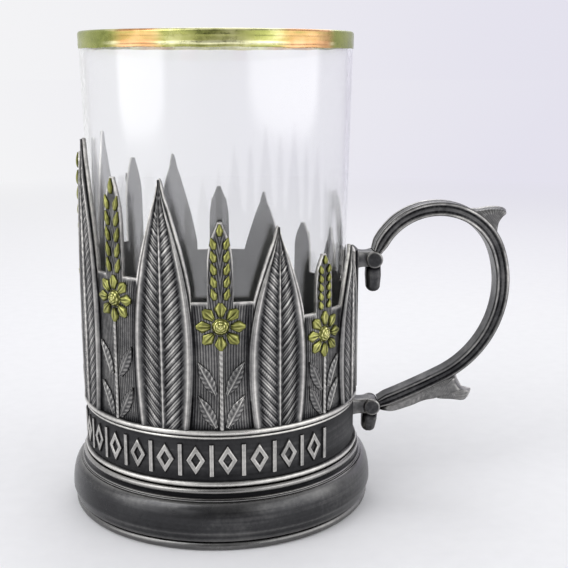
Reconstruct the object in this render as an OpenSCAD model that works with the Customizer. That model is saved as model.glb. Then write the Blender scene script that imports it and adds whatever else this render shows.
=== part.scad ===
// Tea glass holder with its glass: a pierced relief sleeve on a stamped foot, with a cast bow handle.
// Millimetres. The axis of the sleeve is Z, the table is z = 0 and the handle points along +X.

/* [Tea glass] */
// Height of the glass
glass_h = 106; // [95:1:120]
// Diameter of the glass at its lip
glass_lip_d = 66.4; // [63:0.2:72]
// How much narrower the glass is at its heel, on diameter
glass_taper = 4.6; // [3.8:0.2:8]
// Thickness of the glass wall
glass_t = 1.2; // [0.8:0.1:2]
// Thickness of the glass at the bottom
glass_base_t = 5; // [3:0.5:9]
// Rounding of the heel
heel_round = 2.5; // [1:0.25:4]
// Rounding inside the bottom
well_round = 4; // [2:0.5:8]
// Width of the ring on which the glass stands
stand_ring_w = 4; // [2:0.5:8]
// Depth of the hollow under the glass
punt_depth = 1; // [0.5:0.1:2]
// Height of the gold band at the lip
gold_h = 3; // [1:0.5:8]
// Thickness of the gold band
gold_t = 0.08; // [0.04:0.01:0.15]

/* [Sleeve] */
// Play on radius between the lip of the glass and the sleeve
glass_play = 0.2; // [0.15:0.05:1]
// Thickness of the sleeve and collar sheet
sheet_t = 0.9; // [0.6:0.1:1.4]
// Height of the crest beside the handle
crest_low = 66; // [62:1:74]
// Height of the crest opposite the handle
crest_high = 94; // [76:1:100]
// Margin of plain sheet round each motif
sheet_margin = 0.6; // [0.3:0.1:1.2]
// Least gap between a tall leaf and what stands beside it
motif_gap = 0.4; // [0.2:0.1:0.6]

/* [Relief] */
// Width of a tall leaf
leaf_w = 16; // [12:0.5:17]
// Height of the tall leaves' relief
leaf_rise = 1; // [0.5:0.1:1.5]
// Diameter of a flower
flower_d = 11; // [8:0.5:11.5]
// Diameter of a flower's heart
heart_d = 4; // [2:0.25:5]
// Height of a flower's heart
heart_rise = 1.2; // [0.6:0.1:1.6]
// Petals of one flower
petals = 8; // [6:1:10]
// Width of an ear of wheat
ear_w = 4.6; // [3.5:0.1:5]
// Pairs of grains in one ear
grain_pairs = 5; // [4:1:7]
// Length of a leaf on a stem
stem_leaf_l = 8.5; // [5:0.5:9.5]
// Width of a stem
stem_w = 1; // [0.6:0.1:1.4]
// Height of the small motifs' relief
small_rise = 0.8; // [0.4:0.1:1.2]

/* [Collar] */
// Height of the collar's upper edge
collar_top = 27.6; // [26:0.2:30]
// Radius of the wire rings
ring_r = 0.8; // [0.5:0.05:1]
// Radius of the thin second wire under the upper ring
fine_ring_r = 0.4; // [0.25:0.05:0.5]
// Ornament units round the collar
band_units = 22; // [16:1:24]
// Part of the turn that carries ornament
band_arc = 270; // [200:5:280]
// Height of the collar ornament
band_h = 7.6; // [5:0.2:8]
// Height of the collar ornament's relief
band_rise = 0.55; // [0.3:0.05:0.8]
// Width of its strokes
band_stroke = 1.3; // [0.7:0.1:1.4]

/* [Foot] */
// How far the foot stands out past the sleeve, on radius
foot_flare = 4.32; // [3.2:0.02:7]
// Height of the foot
foot_h = 14.3; // [13.4:0.1:16]
// Thickness of the foot's shell
shell_t = 1.4; // [1:0.1:1.8]
// Height of the floor under the glass
floor_z = 11.5; // [10.5:0.1:12.5]
// Thickness of the floor plate
floor_t = 0.8; // [0.5:0.1:1.2]
// Height of the raised seat on the floor plate
seat_h = 0.4; // [0.2:0.1:0.6]
// Width of the ledge that carries the floor plate
ledge_w = 3; // [2:0.25:5]

/* [Handle] */
// Height of the middle of the upper lug
upper_lug_z = 61.3; // [58:0.1:62]
// Height of the middle of the lower lug
lower_lug_z = 22; // [20.6:0.1:23]
// Width of the bow, across its thickness
bow_w = 6.4; // [5:0.1:8]
// Thickness of the bow
bow_t = 3.6; // [2.6:0.1:4.2]
// Distance from the plate to the middle of a lug's knuckle
lug_reach = 4; // [3.4:0.1:6]
// Radius of the knuckles
knuckle_r = 2.2; // [1.9:0.1:2.6]
// Width of the plate under the upper lug
plate_w = 8.4; // [7:0.2:9]
// Thickness of the plate
plate_t = 0.9; // [0.6:0.1:1.2]
// Length of the thumb leaf
thumb_leaf_l = 9; // [7:0.5:11]
// Length of the leaf under the bow
lower_leaf_l = 15; // [12:0.5:17]
// Length of the curl below the upper knuckle
upper_curl_l = 8.6; // [6:0.2:10]
// Length of the curl below the lower knuckle
lower_curl_l = 7.2; // [5:0.2:7.6]

/* [Hidden] */
$fn = 96;

// Facets of a rounding that is drawn point by point
round_steps = 8;
// How far a cutter runs past what it cuts
cut_over = 2;
// Gap under a raised motif whose back is made of flats
seat_gap = 0.02;
// Facets of the round cutter behind the hearts
cutter_facets = 256;

// Radii of the heel and of the sleeve
heel_r = (glass_lip_d - glass_taper) / 2;
bore_r = glass_lip_d / 2 + gold_t + glass_play;
sheet_r = bore_r + sheet_t;
plate_r = sheet_r + plate_t;
foot_r = sheet_r + foot_flare;

// Heights where the sleeve, the collar and the rings meet
motif_foot_z = collar_top + ring_r;
fine_ring_z = collar_top - ring_r - fine_ring_r;
lower_ring_z = foot_h + ring_r;
band_z = (fine_ring_z - fine_ring_r + lower_ring_z + ring_r) / 2;

// Arcs of a rounding, as points from angle a to angle b
function arc_points(c, r, a, b, steps = round_steps) =
    [for (i = [0 : steps]) let (w = a + (b - a) * i / steps) c + r * [cos(w), sin(w)]];

// A band of the solid of revolution between two radii
module tube(inner_r, outer_r, low, high) {
    rotate_extrude() translate([inner_r, low]) square([outer_r - inner_r, high - low]);
}

// A flat outline drawn in arc length and height, pushed out from the axis through the sheet
module radial_prism(points, depth_r) {
    rotate([90, 0, 90])
        linear_extrude(depth_r)
            polygon([for (p = points) [sheet_r * sin(turn_of(p[0])), p[1]]]);
}

// The turn about the axis that goes with an arc length on the sheet
function turn_of(u) = u * 180 / (PI * sheet_r);

// Tea glass

// Outer radius of the glass at a height over the floor, above the rounding of its heel
function glass_r(h) = heel_r + glass_taper / 2 * (h - heel_round) / (glass_h - heel_round);

// The glass's lip is a half round of this radius, at this height over the floor
lip_r = glass_t / 2;
lip_h = glass_h - lip_r;

module glass_tumbler() {
    stand_out_r = heel_r - heel_round;
    stand_in_r = stand_out_r - stand_ring_w;
    well_r = glass_r(glass_base_t + well_round) - glass_t - well_round;
    color("azure", 0.4)
        translate([0, 0, floor_z])
            rotate_extrude()
                polygon(concat(
                    [[0, punt_depth], [stand_in_r, punt_depth / 2], [stand_in_r, 0]],
                    arc_points([stand_out_r, heel_round], heel_round, -90, 0),
                    arc_points([glass_r(lip_h) - lip_r, lip_h], lip_r, 0, 180),
                    arc_points([well_r, glass_base_t + well_round], well_round, 0, -90),
                    [[0, glass_base_t]]
                ));
}

// The gold runs over the lip and a little way down inside, on a film that keeps it off the glass
gold_inside_share = 1 / 3;
module gilt_rim_band() {
    low = glass_h - gold_h;
    inner_low = lip_h - gold_h * gold_inside_share;
    lip = [glass_r(lip_h) - lip_r, lip_h];
    color("gold")
        translate([0, 0, floor_z])
            rotate_extrude()
                polygon(concat(
                    [[glass_r(low) + seat_gap, low], [glass_r(low) + gold_t, low]],
                    arc_points(lip, lip_r + gold_t, 0, 180),
                    [[lip.x - lip_r - gold_t, inner_low], [lip.x - lip_r - seat_gap, inner_low]],
                    arc_points(lip, lip_r + seat_gap, 180, 0)
                ));
}

// Layout of the relief

// Tall leaves stand between the stations of the flowers, and the handle takes the place of one flower
leaf_count = 8;
pitch = 360 / leaf_count;
leaf_turns = [for (k = [0 : leaf_count - 1]) (k + 0.5) * pitch];
flower_turns = [for (k = [1 : leaf_count - 1]) k * pitch];

// The crest rises smoothly from the handle to the far side
function crest(turn) = crest_low + (crest_high - crest_low) * (1 - cos(turn)) / 2;

// Shares of the way from the foot of the motifs to the crest
flower_share = 0.47;
ear_tip_share = 0.92;

// Room on the sheet between the middle of a flower's station and the tall leaf beside it
function side_room(t) = PI * sheet_r / leaf_count - leaf_half(t) - motif_gap;
function station(turn, share) = motif_foot_z + share * (crest(turn) - motif_foot_z);
function flower_z(turn) = station(turn, flower_share);
function ear_foot_z(turn) = flower_z(turn) + bloom_d / 2 + sheet_margin;
function ear_tip_z(turn) = station(turn, ear_tip_share);

// Half width of a tall leaf, where t runs from 0 at its foot to 1 at its tip
leaf_ogive_power = 1.7;
leaf_tip_power = 1.3;
leaf_pinch_share = 0.22;
leaf_pinch_power = 4;
leaf_tip_share = 0.03;
function leaf_half(t) =
    leaf_w / 2 * max(leaf_tip_share,
        pow(cos(90 * pow(t, leaf_ogive_power)), leaf_tip_power)
        * (1 - leaf_pinch_share * pow(1 - t, leaf_pinch_power)));

// Half width of an ear, where t runs from 0 at its foot to 1 at its tip
ear_foot_share = 0.72;
ear_ogive_power = 3;
function ear_half(t) =
    ear_w / 2 * max(leaf_tip_share,
        (ear_foot_share + (1 - ear_foot_share) * sin(180 * t)) * cos(90 * pow(t, ear_ogive_power)));

// Flowers keep clear of the tall leaves
bloom_d = min(flower_d, 2 * side_room(flower_share));

// Raised motifs

// A motif is a grid of points: rows run along it and columns run across it. The front skin is raised
// over the sheet and the back skin lies on it. Each point is turned by tilt round the motif's foot,
// moved to its station and wrapped round the sheet.
function wrap(p, r) = [r * cos(turn_of(p[0])), r * sin(turn_of(p[0])), p[1]];
function tilted(p, tilt, foot) =
    foot + [p[0] * cos(tilt) + p[1] * sin(tilt), p[1] * cos(tilt) - p[0] * sin(tilt)];

function quad(a, b, c, d) = [[a, b, c], [a, c, d]];
function join(lists) = [for (l = lists) for (x = l) x];
function grid_faces(rows, cols) =
    let (n = rows - 1, m = cols - 1)
    let (f = function (i, j) i * cols + j, b = function (i, j) (rows + i) * cols + j)
    join(concat(
        [for (i = [0 : n - 1], j = [0 : m - 1]) quad(f(i, j), f(i + 1, j), f(i + 1, j + 1), f(i, j + 1))],
        [for (i = [0 : n - 1], j = [0 : m - 1]) quad(b(i, j), b(i, j + 1), b(i + 1, j + 1), b(i + 1, j))],
        [for (i = [0 : n - 1]) quad(b(i, 0), b(i + 1, 0), f(i + 1, 0), f(i, 0))],
        [for (i = [0 : n - 1]) quad(f(i, m), f(i + 1, m), b(i + 1, m), b(i, m))],
        [for (j = [0 : m - 1]) quad(b(0, j), f(0, j), f(0, j + 1), b(0, j + 1))],
        [for (j = [0 : m - 1]) quad(b(n, j + 1), f(n, j + 1), f(n, j), b(n, j))]
    ));

// rows_at: rows as shares of the length; cols_at: columns as shares of the half width
// halves: half width at each row; rises: height of the front skin at each column
module motif(length, rows_at, halves, cols_at, rises, tilt = 0, foot = [0, 0]) {
    place = function (i, j) tilted([cols_at[j] * halves[i], rows_at[i] * length], tilt, foot);
    rows = len(rows_at);
    cols = len(cols_at);
    front = [for (i = [0 : rows - 1], j = [0 : cols - 1]) wrap(place(i, j), sheet_r + rises[j])];
    back = [for (i = [0 : rows - 1], j = [0 : cols - 1]) wrap(place(i, j), sheet_r + seat_gap)];
    polyhedron(points = concat(front, back), faces = grid_faces(rows, cols));
}

// A tall leaf has a raised rim, a hollow inside it, swelling sides and a sharp midrib
leaf_cols_share = [-1, -0.84, -0.62, -0.36, -0.1, 0, 0.1, 0.36, 0.62, 0.84, 1];
leaf_rise_share = [0.35, 0.9, 0.35, 0.65, 0.6, 1, 0.6, 0.65, 0.35, 0.9, 0.35];
leaf_rows = 9;
module leaf_relief() {
    rows_share = [for (i = [0 : leaf_rows]) sin(90 * i / leaf_rows)];
    color("dimgray")
        for (turn = leaf_turns)
            rotate([0, 0, turn])
                motif(crest(turn) - motif_foot_z, rows_share, [for (t = rows_share) leaf_half(t)],
                    leaf_cols_share, leaf_rise_share * leaf_rise, foot = [0, motif_foot_z]);
}

// A small leaf, a petal or a grain: three columns with one ridge
small_cols_share = [-1, 0, 1];
small_rise_share = [0.35, 1, 0.35];
module small_motif(length, width, rows_share, halves_share, tilt, foot) {
    motif(length, rows_share, halves_share * width / 2, small_cols_share,
        small_rise_share * small_rise, tilt, foot);
}

petal_rows_share = [0, 0.6, 1];
petal_halves_share = [0.35, 1, 0.3];
petal_root_share = 0.55;
petal_width_share = 0.92;
module flower_petals() {
    root_r = heart_d * petal_root_share;
    petal_l = bloom_d / 2 - root_r;
    widest_r = root_r + petal_l * petal_rows_share[1];
    petal_w = 2 * PI * widest_r / petals * petal_width_share;
    color("goldenrod")
        for (turn = flower_turns)
            rotate([0, 0, turn])
                for (k = [0 : petals - 1])
                    small_motif(petal_l, petal_w, petal_rows_share, petal_halves_share, k * 360 / petals,
                        [0, flower_z(turn)] + root_r * [sin(k * 360 / petals), cos(k * 360 / petals)]);
}

// A heart is a turned dome whose back is cut to the sheet
module gilt_flower_hearts() {
    ball_r = (heart_d * heart_d / 4 + heart_rise * heart_rise) / (2 * heart_rise);
    half_turn = asin(heart_d / 2 / ball_r);
    color("goldenrod")
        for (turn = flower_turns)
            rotate([0, 0, turn])
                difference() {
                    translate([sheet_r, 0, flower_z(turn)])
                        rotate([0, 90, 0])
                            rotate_extrude()
                                polygon(concat(
                                    arc_points([0, heart_rise - ball_r], ball_r, 90 - half_turn, 90),
                                    [[0, -heart_rise], [heart_d / 2, -heart_rise]]
                                ));
                    cylinder(r = sheet_r, h = crest_high, $fn = cutter_facets);
                }
}

// Grains lie in pairs on both sides of the ear's middle, and one stands at its tip
grain_rows_share = [0, 0.45, 1];
grain_halves_share = [0.4, 1, 0.15];
grain_tilt = 16;
grain_length_share = 0.97;
grain_width_share = 0.4;
grain_root_share = 0.62;
module gilt_wheat_ears() {
    color("goldenrod")
        for (turn = flower_turns) {
            foot_z = ear_foot_z(turn);
            step = (ear_tip_z(turn) - foot_z) / (grain_pairs + 1);
            grain_l = step * grain_length_share;
            grain_w = ear_w * grain_width_share;
            rotate([0, 0, turn]) {
                for (i = [0 : grain_pairs - 1], side = [-1, 1])
                    small_motif(grain_l, grain_w, grain_rows_share, grain_halves_share, side * grain_tilt,
                        [side * grain_w * grain_root_share, foot_z + step * i]);
                small_motif(grain_l, grain_w, grain_rows_share, grain_halves_share, 0,
                    [0, ear_tip_z(turn) - grain_l]);
            }
        }
}

// Two pairs of small leaves stand on each stem
stem_leaf_rows_share = [0, 0.3, 0.65, 1];
stem_leaf_halves_share = [0.3, 0.95, 0.9, 0.1];
stem_leaf_slim_share = 0.36;
stem_leaf_root_share = 0.28;
stem_leaf_room_share = 0.58;
stem_leaf_places_share = [0.03, 0.45];
stem_leaf_tilt = 27;
leaf_widest_share = 0.34;
stem_leaf_reach = (side_room(leaf_widest_share) - stem_w / 2)
    / (sin(stem_leaf_tilt) + stem_leaf_slim_share * stem_leaf_root_share);
module stem_leaves() {
    color("gray")
        for (turn = flower_turns) {
            room = flower_z(turn) - bloom_d / 2 - motif_foot_z;
            leaf_l = min(stem_leaf_l, room * stem_leaf_room_share, stem_leaf_reach);
            leaf_slim = leaf_l * stem_leaf_slim_share;
            rotate([0, 0, turn])
                for (share = stem_leaf_places_share, side = [-1, 1])
                    small_motif(leaf_l, leaf_slim, stem_leaf_rows_share, stem_leaf_halves_share,
                        side * stem_leaf_tilt,
                        [side * (stem_w / 2 + leaf_slim * stem_leaf_root_share),
                            motif_foot_z + share * room]);
        }
}

// A strip of the sheet's surface, raised, between two heights
module raised_strip(width, rise, low, high) {
    half_turn = turn_of(width / 2);
    rotate([0, 0, -half_turn])
        rotate_extrude(angle = 2 * half_turn)
            translate([sheet_r, low]) square([rise, high - low]);
}

stem_rise_share = 0.75;
module stems() {
    color("silver")
        for (turn = flower_turns)
            rotate([0, 0, turn])
                raised_strip(stem_w, small_rise * stem_rise_share, motif_foot_z,
                    flower_z(turn) - bloom_d / 2 - seat_gap);
}

// Sleeve

// The sheet is cut away beside each ear and beside the handle plate, from just above the flowers up.
// Each slot is bounded by a leaf on one side and by an ear or the plate on the other.
slot_steps = 9;
slot_over = cut_over / 10;
tip_flat = slot_over * 2;
tip_rise = slot_over * 2;
plate_slot_share = 0.2;
plate_top = upper_lug_z + knuckle_r + sheet_margin;

// Both edges run up from the floor of the slot, and are given as [distance from the motif's middle, height]
function leaf_edge(turn, slot_floor) =
    let (rise = crest(turn) - motif_foot_z, t0 = (slot_floor - motif_foot_z) / rise)
    concat(
        [for (i = [0 : slot_steps]) let (t = t0 + (1 - t0) * sin(90 * i / slot_steps))
            [leaf_half(t) + sheet_margin, motif_foot_z + t * rise]],
        [[tip_flat, crest(turn) + sheet_margin]]
    );
function ear_edge(turn) =
    let (low = ear_foot_z(turn) - sheet_margin, rise = ear_tip_z(turn) - low)
    concat(
        [for (i = [0 : slot_steps]) let (t = sin(90 * i / slot_steps))
            [ear_half(t) + sheet_margin, low + t * rise]],
        [[tip_flat, ear_tip_z(turn) + sheet_margin]]
    );
function plate_edge() =
    let (low = plate_top - (crest_low - motif_foot_z) * plate_slot_share)
    [[plate_w / 2 + sheet_margin, low], [plate_w / 2 + sheet_margin, plate_top],
        [tip_flat, plate_top]];

// A slot lies midway between a leaf and its neighbour: q is half the arc from one to the other
module slot(leaf_turn, side, neighbour_edge) {
    q = PI * sheet_r / leaf_count / 2;
    floor_of_slot = neighbour_edge[0][1];
    leaf_side = leaf_edge(leaf_turn, floor_of_slot);
    leaf_tip = leaf_side[len(leaf_side) - 1];
    other_tip = neighbour_edge[len(neighbour_edge) - 1];
    top = crest_high + cut_over * 2;
    points = concat(
        [for (p = leaf_side) [p[0] - q, p[1]]],
        [[-q - slot_over, leaf_tip[1] + tip_rise], [-q - slot_over, top], [q + slot_over, top],
            [q + slot_over, other_tip[1] + tip_rise]],
        [for (i = [len(neighbour_edge) - 1 : -1 : 0]) [q - neighbour_edge[i][0], neighbour_edge[i][1]]]
    );
    rotate([0, 0, leaf_turn + side * pitch / 4])
        translate([bore_r / 2, 0, 0])
            radial_prism([for (p = points) [side * p[0], p[1]]], bore_r);
}

module sleeve_wall() {
    color("dimgray")
        difference() {
            tube(bore_r, sheet_r, collar_top, crest_high + sheet_margin);
            for (turn = leaf_turns, side = [-1, 1]) {
                neighbour = turn + side * pitch / 2;
                beside_plate = neighbour < pitch / 4 || neighbour > 360 - pitch / 4;
                slot(turn, side, beside_plate ? plate_edge() : ear_edge(neighbour));
            }
        }
}

module handle_plate() {
    half_turn = turn_of(plate_w / 2);
    bevel = plate_t / 2;
    color("dimgray")
        rotate([0, 0, -half_turn])
            rotate_extrude(angle = 2 * half_turn)
                polygon([
                    [sheet_r, motif_foot_z], [plate_r, motif_foot_z], [plate_r, plate_top - bevel],
                    [plate_r - bevel, plate_top], [sheet_r, plate_top]
                ]);
}

// Collar

// The shoulder of the foot on which the collar and the floor plate stand
ledge_z = floor_z - seat_h - floor_t;

module collar_band() {
    color("#2b2b2d") tube(bore_r, sheet_r, ledge_z, collar_top);
}

// A half round wire laid on the sheet
module wire(r, z) {
    rotate_extrude()
        translate([sheet_r, z])
            intersection() {
                circle(r = r);
                translate([0, -r]) square([r, 2 * r]);
            }
}

module upper_wire_ring() {
    color("silver") wire(ring_r, collar_top);
}

module fine_wire_ring() {
    color("silver") wire(fine_ring_r, fine_ring_z);
}

module lower_wire_ring() {
    color("silver") wire(ring_r, lower_ring_z);
}

// A lozenge of the collar ornament, given by half its width and half its height
function lozenge(a, b) = [[-a, band_z], [0, band_z + b], [a, band_z], [0, band_z - b]];

// Lozenge frames alternate with upright bars
module band_ornament() {
    unit_turn = band_arc / band_units;
    half_w = sheet_r * unit_turn * PI / 180 / 2 - band_stroke;
    half_h = band_h / 2;
    inset = band_stroke * norm([half_w, half_h]);
    color("silver")
        for (k = [0 : band_units]) {
            turn = 180 - band_arc / 2 + k * unit_turn;
            rotate([0, 0, turn]) raised_strip(band_stroke, band_rise, band_z - half_h, band_z + half_h);
            if (k < band_units)
                rotate([0, 0, turn + unit_turn / 2])
                    intersection() {
                        tube(sheet_r, sheet_r + band_rise, band_z - band_h, band_z + band_h);
                        translate([bore_r / 2, 0, 0])
                            difference() {
                                radial_prism(lozenge(half_w, half_h), bore_r);
                                radial_prism(
                                    lozenge(half_w - inset / half_h, half_h - inset / half_w), bore_r);
                            }
                    }
        }
}

// Foot

// Heights of the bead, the widest place and the step, and their places, as shares of the foot
bead_share = 0.075;
bead_inset_share = 0.12;
skirt_share = 0.32;
step_share = 0.8;
step_width_share = 0.2;
neck_share = 0.6;
rim_share = 1.6;

// The outline runs up the outside: a bead, a groove, the swelling skirt, two fine steps and the socket
module foot() {
    bead_r = foot_h * bead_share;
    bead_c = foot_r - foot_h * bead_inset_share;
    skirt_z = foot_h * skirt_share;
    step_z = foot_h * step_share;
    top_r = sheet_r + shell_t;
    step_r = top_r + (foot_r - top_r) * step_width_share;
    skirt_r = foot_r - step_r;
    swell = [for (i = [0 : round_steps]) let (w = 90 * i / round_steps)
        [step_r + skirt_r * cos(w), skirt_z + (step_z - skirt_z) * sin(w)]];
    under = [for (i = [round_steps : -1 : 0]) let (w = 90 * i / round_steps)
        [step_r - shell_t + skirt_r * cos(w), skirt_z + (ledge_z - shell_t - skirt_z) * sin(w)]];
    color("#3a3a3c")
        rotate_extrude()
            polygon(concat(
                [[bead_c - shell_t, 0], [bead_c, 0]],
                arc_points([bead_c, bead_r], bead_r, -60, 60),
                [[bead_c, 2 * bead_r], [foot_r - shell_t / 4, skirt_z - bead_r]],
                swell,
                [[step_r, step_z + shell_t / 4],
                    [top_r + (step_r - top_r) * neck_share, step_z + shell_t / 3]],
                arc_points([top_r - shell_t / 2, foot_h - shell_t / 2], shell_t / 2, -60, 90),
                [[sheet_r, foot_h], [sheet_r, ledge_z], [bore_r - ledge_w, ledge_z],
                    [bore_r - ledge_w, ledge_z - shell_t]],
                under,
                [[foot_r - shell_t * rim_share, skirt_z - bead_r]]
            ));
}

// The glass stands on a raised ring of the floor plate
module floor_plate() {
    seat_out_r = heel_r;
    seat_in_r = seat_out_r - heel_round - stand_ring_w;
    base_z = floor_z - seat_h;
    fold = seat_h;
    color("#4a4a4c")
        rotate_extrude()
            polygon([
                [0, ledge_z], [bore_r, ledge_z], [bore_r, base_z], [seat_out_r + fold, base_z],
                [seat_out_r, floor_z], [seat_in_r, floor_z], [seat_in_r - fold, base_z],
                [seat_in_r / 2 + fold, base_z], [seat_in_r / 2, base_z + seat_h / 2],
                [seat_in_r / 2 - fold, base_z], [0, base_z]
            ]);
}

// Handle

// The bow is a chain of arcs from the lower knuckle to the upper one. The shares give its radii in
// proportion to each other, and the whole chain is turned and sized so that it ends there.
bow_radius_share = [3.8, 0.53, 0.323, 0.53];
bow_sweep_angle = [6, 83, 128, 12.5];
bow_arcs = len(bow_sweep_angle);
function bow_heading(i) = i == 0 ? 0 : bow_heading(i - 1) + bow_sweep_angle[i - 1];
function bow_step(i, sweep) =
    let (h = bow_heading(i)) bow_radius_share[i] * [sin(h + sweep) - sin(h), cos(h) - cos(h + sweep)];
function bow_start(i) = i == 0 ? [0, 0] : bow_start(i - 1) + bow_step(i - 1, bow_sweep_angle[i - 1]);
bow_chord = bow_start(bow_arcs);
bow_size = (upper_lug_z - lower_lug_z) / norm(bow_chord);
bow_turn = 90 - atan2(bow_chord.y, bow_chord.x);
knuckle_x = plate_r + lug_reach;

// Places its children in the plane of the handle, with their origin at the lower knuckle
module handle_plane() {
    translate([knuckle_x, 0, lower_lug_z]) rotate([90, 0, 0]) children();
}

// Places its children on the bow, at a share of one arc: x runs on along the bow, y to its inner side
module on_bow(i, share) {
    sweep = bow_sweep_angle[i] * share;
    handle_plane()
        rotate([0, 0, bow_turn])
            translate(bow_size * (bow_start(i) + bow_step(i, sweep)))
                rotate([0, 0, bow_heading(i) + sweep])
                    children();
}

// Half of the bow's section: a flat land outside and inside, and a groove along the side
bow_section_share = [
    [-0.5, 0.42], [-0.38, 0.5], [-0.16, 0.5], [0, 0.43], [0.16, 0.5], [0.38, 0.5], [0.5, 0.42]
];
section_n = len(bow_section_share) * 2;
function section_point(j) =
    j < section_n / 2 ? bow_section_share[j] : let (p = bow_section_share[section_n - 1 - j]) [p[0], -p[1]];

// Stations along the bow, each as [arc, share of its sweep], a ring_angle apart at most
ring_angle = 8;
bow_rings = concat(
    [[0, 0]],
    [for (i = [0 : bow_arcs - 1]) let (n = ceil(bow_sweep_angle[i] / ring_angle)) for (k = [1 : n]) [i, k / n]]
);

// The bow is a little thicker at its lower root
root_share = 0.18;
root_power = 6;
function bow_thickness(turned) =
    bow_t * (1 + root_share * pow(1 - turned / bow_heading(bow_arcs), root_power));

// The section carried along the stations, as one closed skin
module bow_body() {
    rings = len(bow_rings);
    points = [
        for (ring = bow_rings)
            let (
                sweep = bow_sweep_angle[ring[0]] * ring[1],
                heading = bow_heading(ring[0]) + sweep,
                middle = bow_size * (bow_start(ring[0]) + bow_step(ring[0], sweep))
            )
            for (j = [0 : section_n - 1])
                let (out = section_point(j)[0] * bow_thickness(heading))
                [middle.x + out * sin(heading), middle.y - out * cos(heading), section_point(j)[1] * bow_w]
    ];
    at = function (i, j) i * section_n + j % section_n;
    faces = concat(
        [[for (j = [0 : section_n - 1]) at(0, j)], [for (j = [section_n - 1 : -1 : 0]) at(rings - 1, j)]],
        join([
            for (i = [0 : rings - 2], j = [0 : section_n - 1])
                quad(at(i, j + 1), at(i, j), at(i + 1, j), at(i + 1, j + 1))
        ])
    );
    handle_plane() rotate([0, 0, bow_turn]) polyhedron(points = points, faces = faces);
}

module knuckle(z, width) {
    translate([knuckle_x, width / 2, z]) rotate([90, 0, 0]) cylinder(r = knuckle_r, h = width);
}

module handle_bow() {
    color("gray")
        difference() {
            bow_body();
            lug_cutter(lower_lug_z);
            lug_cutter(upper_lug_z);
        }
}

// A block that reaches from what carries it to the knuckle at the end of the bow
lug_w_share = 0.87;
lug_w = bow_w * lug_w_share;
module lug_block(z, from_r, width) {
    translate([from_r, -width / 2, z - knuckle_r])
        cube([knuckle_x - from_r, width, 2 * knuckle_r]);
}

module lug(z, seat_r) {
    knuckle(z, bow_w);
    difference() {
        lug_block(z, seat_r - cut_over, lug_w);
        translate([0, 0, z - 2 * knuckle_r]) cylinder(r = seat_r, h = 4 * knuckle_r);
        knuckle(z, bow_w);
    }
}

// What a lug takes up, for the pieces that end on it
module lug_cutter(z) {
    knuckle(z, bow_w + cut_over);
    lug_block(z, bore_r, bow_w + cut_over);
}

module upper_lug() {
    color("#4a4a4c") lug(upper_lug_z, plate_r);
}

module lower_lug() {
    color("#4a4a4c") lug(lower_lug_z, sheet_r);
}

// A curl hangs from a knuckle and tapers to a round end
curl_w_share = 0.8;
curl_end_share = 0.42;
curl_w = bow_w * curl_w_share;
curl_end_r = bow_t * curl_end_share;
lower_lean_angle = -6;
module curl(z, length, lean) {
    color("dimgray")
        difference() {
            translate([knuckle_x, curl_w / 2, z])
                rotate([90, 0, 0])
                    rotate([0, 0, lean])
                        linear_extrude(curl_w)
                            polygon(concat(
                                arc_points([0, -length + curl_end_r], curl_end_r, 180, 360),
                                [[bow_t / 2, -length / 2], [bow_t / 2, 0], [-bow_t / 2, 0],
                                    [-bow_t / 2, -length / 2]]
                            ));
            lug_cutter(z);
        }
}

module upper_curl() {
    curl(upper_lug_z, upper_curl_l, 0);
}

// The lower curl also gives way to the root of the bow
module lower_curl() {
    difference() {
        curl(lower_lug_z, lower_curl_l, lower_lean_angle);
        bow_body();
    }
}

// A leaf that springs from the outside of the bow. Its outline is in shares of its length, with x
// along the bow and y away from it. It starts inside the bow, which is then cut out of it.
leaf_plate_share = 0.78;
leaf_plate_w = bow_w * leaf_plate_share;
module bow_leaf(i, share, length, outline_share, along) {
    difference() {
        on_bow(i, share)
            translate([0, -bow_t / 2, -leaf_plate_w / 2])
                run_along(along)
                    mirror([0, 1, 0])
                        linear_extrude(leaf_plate_w) polygon(length * outline_share);
        bow_body();
    }
}

// Turns its children to run on along the bow, or back along it
module run_along(along) {
    mirror([along < 0 ? 1 : 0, 0, 0]) children();
}

thumb_place_share = 0.33;
thumb_outline_share = [
    [0, -0.02], [0.15, 0.11], [0.31, 0.24], [0.5, 0.36], [0.69, 0.44], [0.82, 0.46], [0.92, 0.42],
    [0.88, 0.31], [0.84, 0.12], [0.8, -0.06], [0.76, -0.28], [0.4, -0.2]
];
module thumb_leaf() {
    color("gray") bow_leaf(2, thumb_place_share, thumb_leaf_l, thumb_outline_share, -1);
}

lower_place_share = 0.55;
lower_outline_share = [
    [0, -0.02], [0.16, 0.11], [0.35, 0.22], [0.53, 0.31], [0.72, 0.4], [0.85, 0.48], [0.93, 0.43],
    [0.99, 0.35], [0.92, 0.29], [0.86, 0.22], [0.84, 0.07], [0.82, -0.06], [0.4, -0.1]
];
module lower_leaf() {
    color("gray") bow_leaf(0, lower_place_share, lower_leaf_l, lower_outline_share, 1);
}

glass_tumbler();
gilt_rim_band();
sleeve_wall();
leaf_relief();
flower_petals();
gilt_flower_hearts();
gilt_wheat_ears();
stem_leaves();
stems();
handle_plate();
collar_band();
band_ornament();
upper_wire_ring();
fine_wire_ring();
lower_wire_ring();
foot();
floor_plate();
handle_bow();
thumb_leaf();
lower_leaf();
upper_lug();
lower_lug();
upper_curl();
lower_curl();
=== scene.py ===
import math

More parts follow.
